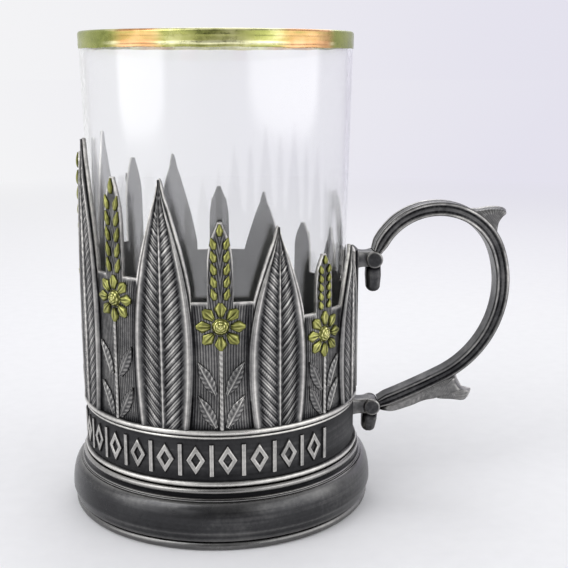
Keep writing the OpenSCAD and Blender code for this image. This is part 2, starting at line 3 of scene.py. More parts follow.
import bmesh
import bpy
import numpy as np
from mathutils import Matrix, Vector


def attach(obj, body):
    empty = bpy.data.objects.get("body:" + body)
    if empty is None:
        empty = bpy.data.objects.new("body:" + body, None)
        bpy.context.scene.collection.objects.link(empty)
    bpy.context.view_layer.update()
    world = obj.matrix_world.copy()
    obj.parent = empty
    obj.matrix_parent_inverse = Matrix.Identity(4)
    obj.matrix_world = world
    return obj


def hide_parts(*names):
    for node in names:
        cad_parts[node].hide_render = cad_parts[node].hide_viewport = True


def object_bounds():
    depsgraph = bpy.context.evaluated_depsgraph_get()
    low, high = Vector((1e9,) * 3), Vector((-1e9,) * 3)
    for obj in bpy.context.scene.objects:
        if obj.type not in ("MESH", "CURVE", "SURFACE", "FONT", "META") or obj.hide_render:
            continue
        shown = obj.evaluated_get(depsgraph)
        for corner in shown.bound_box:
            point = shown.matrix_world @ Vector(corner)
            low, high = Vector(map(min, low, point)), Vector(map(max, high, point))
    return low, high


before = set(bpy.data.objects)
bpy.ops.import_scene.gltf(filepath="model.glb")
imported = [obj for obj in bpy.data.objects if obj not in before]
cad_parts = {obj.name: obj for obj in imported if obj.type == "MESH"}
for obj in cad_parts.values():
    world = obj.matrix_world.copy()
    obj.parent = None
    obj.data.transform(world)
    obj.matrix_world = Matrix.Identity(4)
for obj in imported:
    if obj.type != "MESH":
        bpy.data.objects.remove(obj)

CAD_BOX = [list(v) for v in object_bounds()]
PI = math.pi
MM = 0.001

# Sizes of the source, in millimetres
GLASS_H, LIP_D, TAPER, GLASS_T, GLASS_BASE = 106.0, 66.4, 4.6, 1.2, 5.0
HEEL_ROUND, WELL_ROUND, STAND_W, PUNT = 2.5, 4.0, 4.0, 1.0
GOLD_H, GOLD_T, FILM, FIT = 3.0, 0.08, 0.02, 0.2
SHEET_T, PLATE_W, PLATE_T = 0.9, 8.4, 0.9
CREST_LOW, CREST_HIGH, MARGIN = 66.0, 94.0, 0.6
LEAF_W, LEAF_RISE, FLOWER_D, HEART_D, HEART_RISE = 16.0, 1.0, 11.0, 4.0, 1.2
PETALS, EAR_W, PAIRS, STEM_LEAF, STEM_W, SMALL = 8, 4.6, 5, 8.5, 1.0, 0.8
FLOWER_AT, EAR_END = 0.47, 0.92
COLLAR_TOP, RING, FINE_RING = 27.6, 0.8, 0.4
UNITS, BAND_ARC, BAND_H, BAND_RISE, STROKE = 22, 270.0, 7.6, 0.55, 1.3
FOOT_FLARE, FOOT_H, SHELL, FLOOR_Z, FLOOR_T, SEAT_H, LEDGE_W = 4.32, 14.3, 1.4, 11.5, 0.8, 0.4, 3.0
UP_Z, LOW_Z, BOW_W, BOW_T, REACH, KNUCKLE = 61.3, 22.0, 6.4, 3.6, 4.0, 2.2
THUMB_L, LOWER_L, UP_CURL, LOW_CURL = 9.0, 15.0, 8.6, 7.2
HEEL_R = (LIP_D - TAPER) / 2
BORE = LIP_D / 2 + GOLD_T + FIT
R = BORE + SHEET_T
PLATE_R = R + PLATE_T
FOOT_Z = COLLAR_TOP + RING
FINE_Z = COLLAR_TOP - RING - FINE_RING
LOW_RING_Z = FOOT_H + RING
BAND_Z = (FINE_Z - FINE_RING + LOW_RING_Z + RING) / 2
LEDGE_Z = FLOOR_Z - SEAT_H - FLOOR_T
PLATE_TOP = UP_Z + KNUCKLE + MARGIN
KNUCKLE_X = PLATE_R + REACH
PITCH = 45.0
LEAF_TURNS = [(k + 0.5) * PITCH for k in range(8)]
FLOWER_TURNS = [k * PITCH for k in range(1, 8)]

# Sizes of the scene alone: the gold is painted taller than its solid, and the sheet ends behind the wire
PAINT_H = 4.0
SHEET_LOW = FOOT_Z - 1.0
SEG = 320


def crest(turn):
    return CREST_LOW + (CREST_HIGH - CREST_LOW) * (1 - math.cos(math.radians(turn))) / 2


def station(turn, share):
    return FOOT_Z + share * (crest(turn) - FOOT_Z)


def leaf_half(t):
    t = np.clip(np.asarray(t, float), 0, 1)
    tip = np.maximum(np.cos(PI / 2 * t ** 1.7), 0) ** 1.3
    return LEAF_W / 2 * np.maximum(0.03, tip * (1 - 0.22 * (1 - t) ** 4))


def ear_half(t):
    t = np.clip(np.asarray(t, float), 0, 1)
    return EAR_W / 2 * np.maximum(0.03, (0.72 + 0.28 * np.sin(PI * t)) * np.cos(PI / 2 * t ** 3))


def smooth(x, a, b):
    t = np.clip((np.asarray(x, float) - a) / (b - a), 0, 1)
    return t * t * (3 - 2 * t)


def bell(x, width):
    return np.exp(-(x / width) ** 2)


def wave(x):
    """A wave between 0 and 1 that starts at 1 and repeats with each whole number."""
    return 0.5 + 0.5 * np.cos(2 * PI * x)


def circle(n):
    return np.arange(n) * 2 * PI / n


def soft_noise(shape, cells, seed):
    """Value noise on a grid of the given shape, with the given number of cells each way."""
    rng = np.random.default_rng(seed)
    ca, cb = cells
    g = rng.random((ca + 2, cb + 2))
    a = np.linspace(0, ca, shape[0], endpoint=False)
    b = np.linspace(0, cb, shape[1], endpoint=False)
    ia, ib = a.astype(int), b.astype(int)
    fa, fb = smooth(a - ia, 0, 1)[:, None], smooth(b - ib, 0, 1)
    p = g[np.ix_(ia, ib)] * (1 - fa) + g[np.ix_(ia + 1, ib)] * fa
    q = g[np.ix_(ia, ib + 1)] * (1 - fa) + g[np.ix_(ia + 1, ib + 1)] * fa
    return p * (1 - fb) + q * fb


# Camera
cam_data = bpy.data.cameras.new("view")
cam_data.lens = 65.0
cam_data.sensor_width = 36.0
cam_data.clip_start = 0.01
cam = bpy.data.objects.new("view", cam_data)
cam.location = (0.0, -0.2567, 0.1108)
cam.rotation_euler = (math.radians(90 - 12.29), 0.0, math.radians(-3.65))
bpy.context.scene.collection.objects.link(cam)
bpy.context.scene.camera = cam


# Materials
class Tree:
    """The nodes of a material, a world or a lamp, with a short call for each kind that is used here."""

    def __init__(self, owner, out="ShaderNodeOutputMaterial"):
        owner.use_nodes = True
        self.owner = owner
        self.nt = owner.node_tree
        self.nt.nodes.clear()
        self.out = self.node(out)

    def put(self, socket, value):
        if isinstance(value, bpy.types.NodeSocket):
            self.nt.links.new(value, socket)
        else:
            socket.default_value = value

    def node(self, kind, **inputs):
        n = self.nt.nodes.new(kind)
        for key, value in inputs.items():
            self.put(n.inputs[key.replace("_", " ")], value)
        return n

    def listed(self, kind, values, **settings):
        """A node whose first inputs are given in their order."""
        n = self.nt.nodes.new(kind)
        for key, value in settings.items():
            setattr(n, key, value)
        for socket, value in zip(n.inputs, values):
            self.put(socket, value)
        return n.outputs[0]

    def math(self, op, a, b=0.0, c=0.0, clamp=False):
        return self.listed("ShaderNodeMath", (a, b, c), operation=op, use_clamp=clamp)

    def more(self, base, value, share, clamp=False):
        return self.math("MULTIPLY_ADD", value, share, base, clamp)

    def vary(self, base, noise, share, clamp=False):
        return self.more(base, self.math("SUBTRACT", noise, 0.5), share, clamp)

    def span(self, value, a, b, c, d):
        return self.listed("ShaderNodeMapRange", (value, a, b, c, d))

    def ease(self, value, a, b, c, d):
        return self.listed("ShaderNodeMapRange", (value, a, b, c, d), interpolation_type="SMOOTHSTEP")

    def vector(self, op, a):
        n = self.nt.nodes.new("ShaderNodeVectorMath")
        n.operation = op
        self.put(n.inputs[0], a)
        return n.outputs["Value" if op == "LENGTH" else "Vector"]

    def split(self, a):
        return self.node("ShaderNodeSeparateXYZ", Vector=a).outputs

    def attr(self, name):
        n = self.node("ShaderNodeAttribute")
        n.attribute_name = name
        return n.outputs["Fac"]

    def place(self, *scale):
        at = self.node("ShaderNodeTexCoord").outputs["Object"]
        return self.node("ShaderNodeMapping", Vector=at, Scale=scale or (1.0, 1.0, 1.0)).outputs[0]

    def noise(self, scale, detail=4.0, rough=0.55, at=None):
        return self.node("ShaderNodeTexNoise", Scale=scale, Detail=detail, Roughness=rough,
            Vector=at or self.place()).outputs["Fac"]

    def ramp(self, fac, stops):
        n = self.nt.nodes.new("ShaderNodeValToRGB")
        els = n.color_ramp.elements
        while len(els) < len(stops):
            els.new(0.5)
        for e, (pos, col) in zip(els, stops):
            e.position = pos
            e.color = (*col, 1.0)
        self.put(n.inputs[0], fac)
        return n.outputs[0]

    def blend(self, fac, a, b):
        n = self.nt.nodes.new("ShaderNodeMix")
        n.data_type = "RGBA"
        for k, value in ((0, fac), (6, a), (7, b)):
            self.put(n.inputs[k], value)
        return n.outputs[2]

    def bump(self, height, distance, strength, **normal):
        return self.node("ShaderNodeBump", Strength=strength, Distance=distance, Height=height, **normal).outputs[0]

    def surface(self, shader, other=None, fac=None):
        """Makes a shader the tree's result, with another mixed in by fac."""
        if other is not None:
            shader = self.listed("ShaderNodeMixShader", (fac, shader, other))
        self.put(self.out.inputs[0], shader)
        return self.owner

    def metal(self, colour, rough, normal):
        return self.surface(self.node("ShaderNodeBsdfPrincipled", Base_Color=colour, Metallic=1.0, Roughness=rough,
            Normal=normal).outputs[0])


def material(name):
    return Tree(bpy.data.materials.new(name))


def old_metal(name, stops, level=0.42, rough=(0.5, 0.3), grain=1.0, hatch=1.0, pits=0.0):
    """Tarnished metal: dark in hollows and in painted shade, bright on ridges, with chased hatching and fine scratches.
    """
    t = material(name)
    line = t.math("MULTIPLY", t.math("SINE", t.attr("hatch")), t.attr("hatch_w"))
    fine = t.noise(900.0, 4.0, 0.6)
    v = t.more(level, t.attr("wear"), 0.6)
    v = t.more(v, t.attr("cav"), -0.5)
    v = t.vary(v, t.noise(90.0, 5.0, 0.6), 0.55)
    v = t.vary(v, fine, 0.35 * grain)
    v = t.more(v, line, 0.17 * hatch, clamp=True)
    r = t.vary(t.span(v, 0.0, 1.0, *rough), t.noise(260.0, 3.0), 0.22, clamp=True)
    height = t.more(t.math("MULTIPLY", fine, 0.5 * grain), line, 0.6 * hatch)
    normal = t.bump(height, 0.00009, 0.9)
    if pits:
        cells = t.node("ShaderNodeTexVoronoi", Scale=1500.0, Vector=t.place())
        normal = t.bump(cells.outputs["Distance"], 0.00012, pits, Normal=normal)
    return t.metal(t.ramp(v, stops), r, normal)


def turned_metal(name, stops, rough, level):
    """Spun metal: fine rings round the axis, rubbed bright on its edges and dull in its grooves."""
    t = material(name)
    rings = t.noise(60.0, 3.0, 0.5, t.place(0.35, 0.35, 26.0))
    cloud = t.noise(45.0, 5.0, 0.6)
    speck = t.noise(1100.0, 3.0, 0.6)
    v = t.more(level, t.attr("wear"), 0.55)
    v = t.more(v, t.attr("cav"), -0.4)
    v = t.vary(v, cloud, 0.45)
    v = t.vary(v, rings, 0.22)
    v = t.vary(v, speck, 0.16, clamp=True)
    r = t.more(t.span(v, 0.0, 1.0, *rough), cloud, 0.22, clamp=True)
    height = t.more(t.math("MULTIPLY", speck, 0.25), rings, 0.6)
    return t.metal(t.ramp(v, stops), r, t.bump(height, 0.00004, 0.5))


def inner_metal():
    """The plain inside of the sleeve, rubbed by the glass: faint upright scratches on grey metal."""
    t = material("rubbed_inside")
    streak = t.noise(120.0, 4.0, 0.6, t.place(1.0, 1.0, 0.12))
    v = t.more(t.math("MULTIPLY", t.noise(55.0, 4.0), 0.6), streak, 0.5)
    v = t.more(v, t.attr("cav"), -0.3)
    colour = t.ramp(v, [(0.2, (0.07, 0.07, 0.07)), (0.55, (0.165, 0.165, 0.16)), (0.9, (0.30, 0.295, 0.285))])
    return t.metal(colour, t.span(streak, 0.2, 0.8, 0.34, 0.56), t.bump(streak, 0.00004, 0.6))


def clear_glass():
    """Glass with a soft sheen. It lets lamp light through, so that its shadow is pale."""
    t = material("clear_glass")
    haze = t.span(t.noise(38.0, 3.0), 0.35, 0.9, 0.01, 0.05)
    glass = t.node("ShaderNodeBsdfPrincipled", Base_Color=(0.975, 0.979, 0.977, 1.0), Roughness=haze, IOR=1.47,
        Transmission_Weight=1.0, Coat_Weight=1.0, Coat_IOR=1.6, Coat_Roughness=0.13)
    clear = t.node("ShaderNodeBsdfTransparent", Color=(0.97, 0.975, 0.97, 1.0))
    shadow = t.node("ShaderNodeLightPath").outputs["Is Shadow Ray"]
    return t.surface(glass.outputs[0], clear.outputs[0], shadow)


def fired_gold():
    """Thin gold fired on glass: pale yellow, with peach in long patches and olive elsewhere, painted shade in olive
    stripes and a painted highlight in pale yellow.
    """
    t = material("fired_gold")
    patch = t.noise(120.0, 3.0, 0.5, t.place(1.0, 1.0, 2.5))
    small = t.noise(420.0, 4.0, 0.6)
    v = t.more(t.math("MULTIPLY", patch, 0.65), small, 0.35)
    pale = t.ramp(v, [(0.36, (0.27, 0.28, 0.08)), (0.50, (0.43, 0.43, 0.145)), (0.64, (0.68, 0.66, 0.32))])
    olive = t.ramp(v, [(0.34, (0.20, 0.23, 0.055)), (0.66, (0.38, 0.41, 0.12))])
    peach = t.ramp(v, [(0.34, (0.45, 0.20, 0.08)), (0.66, (0.78, 0.44, 0.23))])
    # Painted shade: the wear channel carries stripes of shade, which turn the band olive, patchy by noise
    dull = t.math("MULTIPLY", t.attr("wear"), t.span(patch, 0.35, 0.6, 0.85, 0.35))
    # Painted highlight: the hatch channel carries a pale line, which turns the band pale yellow, broken by noise
    bright = t.math("MULTIPLY", t.attr("hatch"), t.span(small, 0.3, 0.6, 0.45, 1.0))
    colour = t.blend(t.attr("cav"), pale, olive)
    colour = t.blend(t.attr("hatch_w"), colour, peach)
    colour = t.blend(dull, colour, olive)
    colour = t.blend(bright, colour, (0.96, 0.94, 0.58, 1.0))
    return t.metal(colour, t.span(small, 0.3, 0.7, 0.20, 0.38), t.bump(small, 0.00003, 0.4))


BLACKENED = [(0.0, (0.010, 0.010, 0.011)), (0.3, (0.055, 0.055, 0.057)), (0.55, (0.17, 0.168, 0.165)),
    (0.8, (0.40, 0.39, 0.375)), (1.0, (0.78, 0.76, 0.72))]
BRIGHT = [(0.0, (0.02, 0.02, 0.021)), (0.3, (0.14, 0.138, 0.135)), (0.6, (0.46, 0.45, 0.43)),
    (1.0, (0.88, 0.86, 0.81))]
GILT = [(0.0, (0.020, 0.021, 0.008)), (0.3, (0.115, 0.118, 0.034)), (0.6, (0.35, 0.355, 0.11)),
    (1.0, (0.80, 0.76, 0.36))]
silver_relief = old_metal("blackened_relief", BLACKENED, 0.49)
silver_ground = old_metal("blackened_ground", BLACKENED, 0.44, rough=(0.6, 0.38), pits=0.45)
silver_handle = old_metal("blackened_cast", BLACKENED, 0.45, rough=(0.42, 0.26), hatch=0.4)
silver_dark = old_metal("blackened_lugs", BLACKENED, 0.34, rough=(0.42, 0.3))
silver_bright = old_metal("bright_wire", BRIGHT, 0.48, rough=(0.5, 0.24))
silver_border = old_metal("rubbed_border", BRIGHT, 0.30, rough=(0.5, 0.26), grain=1.4)
gilt = old_metal("old_gilding", GILT, 0.42, rough=(0.5, 0.26))
foot_metal = turned_metal("dark_turned_foot", BLACKENED, (0.20, 0.12), 0.275)
collar_metal = turned_metal("dark_collar", BLACKENED, (0.5, 0.34), 0.30)
floor_metal = turned_metal("grey_floor_plate", BLACKENED, (0.42, 0.30), 0.60)
inside = inner_metal()


# Mesh tools
KEYS = ("wear", "cav", "hatch", "hatch_w")


def add_piece(name, verts, faces, mats, body, replaced, data, face_mats=None, sharp=35.0):
    """One piece from points in millimetres. data holds one number per point for each key that isn't zero."""
    me = bpy.data.meshes.new(name)
    me.from_pydata((np.asarray(verts, float) * MM).tolist(), [], faces)
    if face_mats is not None:
        me.polygons.foreach_set("material_index", np.asarray(face_mats, np.int32))
    for key in KEYS:
        values = np.broadcast_to(np.ravel(data.get(key, 0.0)), (len(me.vertices),))
        me.attributes.new(key, "FLOAT", "POINT").data.foreach_set("value", values.astype(np.float32))
    bm = bmesh.new()
    bm.from_mesh(me)
    bmesh.ops.recalc_face_normals(bm, faces=bm.faces)
    bm.to_mesh(me)
    bm.free()
    me.polygons.foreach_set("use_smooth", np.ones(len(me.polygons), bool))
    me.set_sharp_from_angle(angle=math.radians(sharp))
    for m in mats:
        me.materials.append(m)
    me.update()
    ob = bpy.data.objects.new(name, me)
    bpy.context.scene.collection.objects.link(ob)
    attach(ob, body)
    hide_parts(*replaced)


class Batch:
    """Several closed shapes that make up one piece of the holder."""

    def __init__(self):
        self.v, self.f, self.d, self.n = [], [], {key: [] for key in KEYS}, 0

    def add(self, verts, faces, **data):
        verts = np.asarray(verts, float).reshape(-1, 3)
        self.v.append(verts)
        self.f += [[i + self.n for i in f] for f in faces]
        for key, held in self.d.items():
            held.append(np.broadcast_to(np.ravel(data.get(key, 0.0)), (len(verts),)))
        self.n += len(verts)

    def piece(self, name, mat, slot, replaced, sharp):
        data = {k: np.concatenate(x) for k, x in self.d.items()}
        add_piece(name, np.concatenate(self.v), self.f, [mat], "holder", replaced, data, sharp=sharp)


def polar(r, a, z):
    """Points at radius r, angle a in radians and height z."""
    r, a, z = np.broadcast_arrays(r, a, z)
    return np.stack([r * np.cos(a), r * np.sin(a), z], -1)


def wrapped(u, z, r, turn):
    """Points at radius r and height z, with u measured along the sleeve from a turn in degrees."""
    return polar(r, math.radians(turn) + np.asarray(u) / R, z)


def arc(c, r, a, b, n):
    w = np.radians(np.linspace(a, b, n + 1))
    return [(c[0] + r * math.cos(x), c[1] + r * math.sin(x)) for x in w]


def strips(rows, cols, ring=False, first=0):
    """Quads between rows of points, each row closed on itself, and in a ring the last row meets the first."""
    faces = []
    for i in range(rows if ring else rows - 1):
        a, b = first + i * cols, first + (i + 1) % rows * cols
        faces += [[a + j, a + (j + 1) % cols, b + (j + 1) % cols, b + j] for j in range(cols)]
    return faces


def tube(rows, cols):
    """Faces of a tube that is closed at both ends."""
    last = (rows - 1) * cols
    return strips(rows, cols) + [list(range(cols)), list(range(last + cols - 1, last - 1, -1))]


def blur(h, n):
    for axis in (0, 1):
        for _ in range(n):
            p = np.concatenate([h.take([0], axis), h, h.take([-1], axis)], axis)
            m = p.shape[axis]
            h = (p.take(range(0, m - 2), axis) + 2 * p.take(range(1, m - 1), axis) + p.take(range(2, m), axis)) / 4
    return h


def relief(batch, u, z, h, turn, gains, keep, soft, hatch=0.0, hatch_w=0.0, extra_cav=0.0):
    """A raised motif as one closed shape. u, z and h are grids: rows run along it, columns across it.

    gains are for wear and hollows, keep is the count of strips on its back, and soft the blur that finds its ridges.
    """
    rows, cols = h.shape
    pick = np.unique(np.round(np.linspace(0, cols - 1, keep + 1)).astype(int))
    k, off = len(pick), rows * cols
    front = wrapped(u, z, R + h, turn)
    back = wrapped(u[:, pick], z[:, pick], R + FILM, turn)
    f = []
    for i in range(rows - 1):
        a, b = i * cols, (i + 1) * cols
        c, d = off + i * k, off + (i + 1) * k
        f += [[a + j, a + j + 1, b + j + 1, b + j] for j in range(cols - 1)]
        f += [[c + j, d + j, d + j + 1, c + j + 1] for j in range(k - 1)]
        f += [[a, b, d, c], [a + cols - 1, c + k - 1, d + k - 1, b + cols - 1]]
    last, last_back = (rows - 1) * cols, off + (rows - 1) * k
    f.append(list(range(cols)) + list(range(off + k - 1, off - 1, -1)))
    f.append(list(range(last + cols - 1, last - 1, -1)) + list(range(last_back, last_back + k)))
    low = blur(h, soft)
    wear = np.clip((h - low) * gains[0], 0, 1)
    cav = np.clip(np.clip((low - h) * gains[1], 0, 1) + extra_cav, 0, 1)

    def both(values, behind=0.0):
        return np.concatenate([np.broadcast_to(values, h.shape).ravel(), np.full(rows * k, behind)])

    batch.add(np.concatenate([front.reshape(-1, 3), back.reshape(-1, 3)]), f,
        wear=both(wear), cav=both(cav, 0.5), hatch=both(hatch), hatch_w=both(hatch_w))


def lathe(profile, seg):
    """A closed outline of (radius, height) turned round Z: points, faces and each point's place on the outline."""
    m = len(profile)
    sizes = [1 if r < 1e-6 else seg for r, z in profile]
    start = np.cumsum([0] + sizes).tolist()
    faces = []
    for i in range(m):
        j = (i + 1) % m
        if sizes[i] == sizes[j] == 1:
            continue
        for s in range(seg):
            near = [start[i] + s % sizes[i], start[i] + (s + 1) % seg % sizes[i]]
            far = [start[j] + (s + 1) % seg % sizes[j], start[j] + s % sizes[j]]
            faces.append(list(dict.fromkeys(near + far)))
    verts = [polar(r, circle(size), z) for (r, z), size in zip(profile, sizes)]
    return np.concatenate(verts), faces, np.repeat(np.arange(m), sizes)


def turned_piece(name, profile, mat, body, slot, replaced, wear=0.0, cav=0.0, seg=SEG):
    verts, faces, which = lathe(profile, seg)
    data = {"wear": np.broadcast_to(wear, len(profile))[which], "cav": np.broadcast_to(cav, len(profile))[which]}
    add_piece(name, verts, faces, [mat], body, replaced, data, sharp=30.0)


def edge_wear(profile, gain):
    """Wear on convex corners of a closed outline that runs anticlockwise, and hollows on concave ones."""
    p = np.asarray(profile, float)
    a, b = p - np.roll(p, 1, 0), np.roll(p, -1, 0) - p
    la, lb = np.hypot(*a.T) + 1e-9, np.hypot(*b.T) + 1e-9
    turn = (a[:, 0] * b[:, 1] - a[:, 1] * b[:, 0]) / (la * lb)
    bend = turn / np.clip((la + lb) / 2, 0.12, None) * 0.35 * gain
    return np.clip(bend, 0, 1), np.clip(-bend, 0, 1)


# Glass
def glass_r(h):
    return HEEL_R + TAPER / 2 * (h - HEEL_ROUND) / (GLASS_H - HEEL_ROUND)


lip_r = GLASS_T / 2
lip_h = GLASS_H - lip_r
lip = (glass_r(lip_h) - lip_r, lip_h)
stand_out = HEEL_R - HEEL_ROUND
stand_in = stand_out - STAND_W
well_h = GLASS_BASE + WELL_ROUND
well_r = glass_r(well_h) - GLASS_T - WELL_ROUND
outline = [(0, PUNT), (stand_in * 0.5, PUNT * 0.93), (stand_in * 0.8, PUNT * 0.8), (stand_in - 0.6, PUNT * 0.5),
    (stand_in, 0.12), (stand_in + 0.35, 0.0)]
outline += arc((stand_out, HEEL_ROUND), HEEL_ROUND, -90, 0, 16)
outline += [(glass_r(h), h) for h in np.linspace(HEEL_ROUND + 2, lip_h - 2, 24)]
outline += arc(lip, lip_r, 0, 180, 16)
outline += [(glass_r(h) - GLASS_T, h) for h in np.linspace(lip_h - 2, well_h + 2, 24)]
outline += arc((well_r, well_h), WELL_ROUND, 0, -90, 16)
outline += [(well_r * 0.5, GLASS_BASE - 0.04), (0, GLASS_BASE - 0.06)]
turned_piece("tumbler", [(r, z + FLOOR_Z) for r, z in outline], clear_glass(), "glass", "clear_glass",
    ["glass_tumbler"])

# The gold's lower edge wavers a little, as it was laid on with a brush
a = circle(SEG)
rng = np.random.default_rng(5)
waver = sum(rng.uniform(0.02, 0.09) * np.sin(k * a + rng.uniform(0, 2 * PI)) for k in (2, 3, 5, 8, 13, 21))
low = GLASS_H - PAINT_H + 0.12 + waver * 0.8
inner_low = lip_h - GOLD_H / 3 + 0.1 + np.roll(waver, 40)
inner_r = lip[0] - lip_r
rings = []
face = np.linspace(0, 1, 33)
for s in face:
    h = low + (lip_h - low) * s
    ridge = 0.06 * bell(s - 0.27, 0.06) + 0.03 * bell(s - 0.80, 0.07)
    rings.append((glass_r(h) + GOLD_T * (0.5 if s == 0 else 1.0) + ridge, h))
rings += arc(lip, lip_r + GOLD_T, 0, 180, 14)[1:]
rings += [(inner_r - GOLD_T * 0.6, inner_low), (inner_r - FILM, inner_low - 0.02)]
rings += arc(lip, lip_r + FILM, 180, 0, 14)
rings.append((glass_r(low) + FILM, low - 0.02))
# The band is painted with stripes of shade, darkest just below its top, and with a painted highlight on a ridge low on
# its face and on its rounded top
rest = len(rings) - len(face) - 2
dull = 0.15 * smooth(face, 0.20, 0.10) + 0.55 * smooth(face, 0.40, 0.52) + 0.35 * smooth(face, 0.86, 0.97)
dull = np.concatenate([dull, [0.45, 0.1], np.zeros(rest)])
# Painted highlight along a low ridge of the face and over the rounded top
line = np.concatenate([smooth(face, 0.12, 0.22) * smooth(face, 0.44, 0.34), [0.0, 0.3], np.full(rest, 0.6)])
# Peach and olive patches lie at the same places on the near half and on the far half
side_deg = np.degrees(np.arcsin(np.clip(np.cos(a), -1, 1))) + 12 * np.roll(waver, 90)
peach_w = smooth(side_deg, -46, -38) * smooth(side_deg, -19, -26)
peach_w += smooth(side_deg, 21, 29) * smooth(side_deg, 56, 47)
olive_w = np.maximum(smooth(side_deg, -40, -50), smooth(side_deg, 47, 57))
add_piece("lip_gold", np.concatenate([polar(r, a, z + FLOOR_Z) for r, z in rings]), strips(len(rings), SEG, True),
    [fired_gold()], "glass", ["gilt_rim_band"],
    {"wear": np.repeat(dull, SEG), "cav": np.tile(olive_w, len(rings)), "hatch_w": np.tile(peach_w * 0.9, len(rings)),
        "hatch": np.outer(line, 1 - np.maximum(olive_w, peach_w))}, sharp=50)


# Pierced sleeve: the sheet's upper edge is a height for each place round it
def leaf_top(du, turn):
    """Height of a tall leaf's edge, with the sheet's margin, at a distance from the leaf's middle."""
    t = 1 - np.linspace(0, 1, 400) ** 2
    half = leaf_half(t) + MARGIN
    foot = half[0]
    du = np.abs(du)
    over = np.interp(du, half, FOOT_Z + t * (crest(turn) - FOOT_Z), left=crest(turn) + 0.3, right=-1.0)
    over = over - np.where(du < foot, 2.2 * (du / foot) ** 1.4, 0.9 * smooth(du, foot * 2.6, foot))
    return np.where(du > half[-1], -1.0, over)


def ear_top(du, turn):
    t = 1 - np.linspace(0, 1, 300) ** 2
    low_z, tip = floor_of(turn), station(turn, EAR_END)
    order = np.maximum.accumulate(ear_half(t) + MARGIN)
    over = np.interp(np.abs(du), order, low_z + t * (tip - low_z), left=tip + 0.3, right=-1.0)
    return np.where(np.abs(du) > order[-1], -1.0, over)


def floor_of(turn):
    """Height of the sheet between two leaves: low behind the handle's plate, else behind the flower's top."""
    if turn == 0:
        return PLATE_TOP - (CREST_LOW - FOOT_Z) * 0.2
    return station(turn, FLOWER_AT) + FLOWER_D / 2


girth = 2 * PI * R
edge_u = PLATE_W / 2 + MARGIN
plate_edges = [u + d for u in (edge_u, girth - edge_u) for d in (-0.01, 0.01)]
us = np.sort(np.concatenate([circle(1920) * R, plate_edges]))
H = np.zeros(len(us))
du_leaf = np.full(len(us), 99.0)
for turn in LEAF_TURNS:
    d = us - math.radians(turn) * R
    near = np.abs(d) <= girth / 16
    H[near] = np.maximum(H[near], leaf_top(d[near], turn))
    du_leaf[near] = np.abs(d[near])
for turn in [0.0] + FLOWER_TURNS:
    d = (us - math.radians(turn) * R + girth / 2) % girth - girth / 2
    near = np.abs(d) <= girth / 16
    H[near] = np.maximum(H[near], floor_of(turn))
    if turn:
        H[near] = np.maximum(H[near], ear_top(d[near], turn))
    else:
        H[near] = np.where(np.abs(d[near]) <= edge_u, np.maximum(H[near], PLATE_TOP), H[near])
ang = us / R
steep = np.sqrt(1 + np.minimum(np.abs(np.gradient(H, us)), 12) ** 2)
zr = np.stack([SHEET_LOW + (H - 2.2 - SHEET_LOW) * s for s in np.linspace(0, 1, 28)]
    + [H - d for d in (1.6, 0.9, 0.45, 0.18, 0.0)])
dist = (H - zr) / steep
leaf_d = np.minimum(np.abs(du_leaf - leaf_half((zr - FOOT_Z) / (CREST_HIGH - FOOT_Z))), 9)
outer = polar(R, ang, zr)
outer[-1, :, 2] -= 0.10
bevel, top_in = polar(R - 0.14, ang, H), polar(BORE, ang, H - 0.05)
inner = [polar(BORE, ang, SHEET_LOW + (H - 0.05 - SHEET_LOW) * s) for s in np.linspace(0, 1, 16)[-2::-1]]
loops = np.concatenate([outer, [bevel, top_in], inner])
n_out = len(zr)
pad = np.zeros((len(loops) - n_out, len(us)))
wear = np.concatenate([0.85 * smooth(dist, 0.75, 0.15) * (0.7 + 0.6 * soft_noise(zr.shape, (6, 240), 3)), pad])
wear[n_out] = 0.9
wear[n_out + 1] = 0.3
# Painted shade: the ground darkens within about 1.6 mm of the leaves' edges, away from the sheet's top edge; the ground
# is also darker just above the wire at its foot
cav = smooth(zr - FOOT_Z, 2.0, 0.0) * 0.6 + 0.5 * smooth(leaf_d, 1.6, 0.2) * (dist > 0.7)
add_piece("pierced_sleeve", loops.reshape(-1, 3), strips(len(loops), len(us), True), [silver_ground, inside],
    "holder", ["sleeve_wall"],
    {"wear": wear, "cav": np.concatenate([cav, pad]),
        "hatch": np.concatenate([(leaf_d / 0.62 + zr * 0.05) * 2 * PI, pad]),
        "hatch_w": np.concatenate([smooth(dist, 0.5, 1.0), pad])},
    np.repeat(np.arange(len(loops)) > n_out, len(us)), sharp=40)

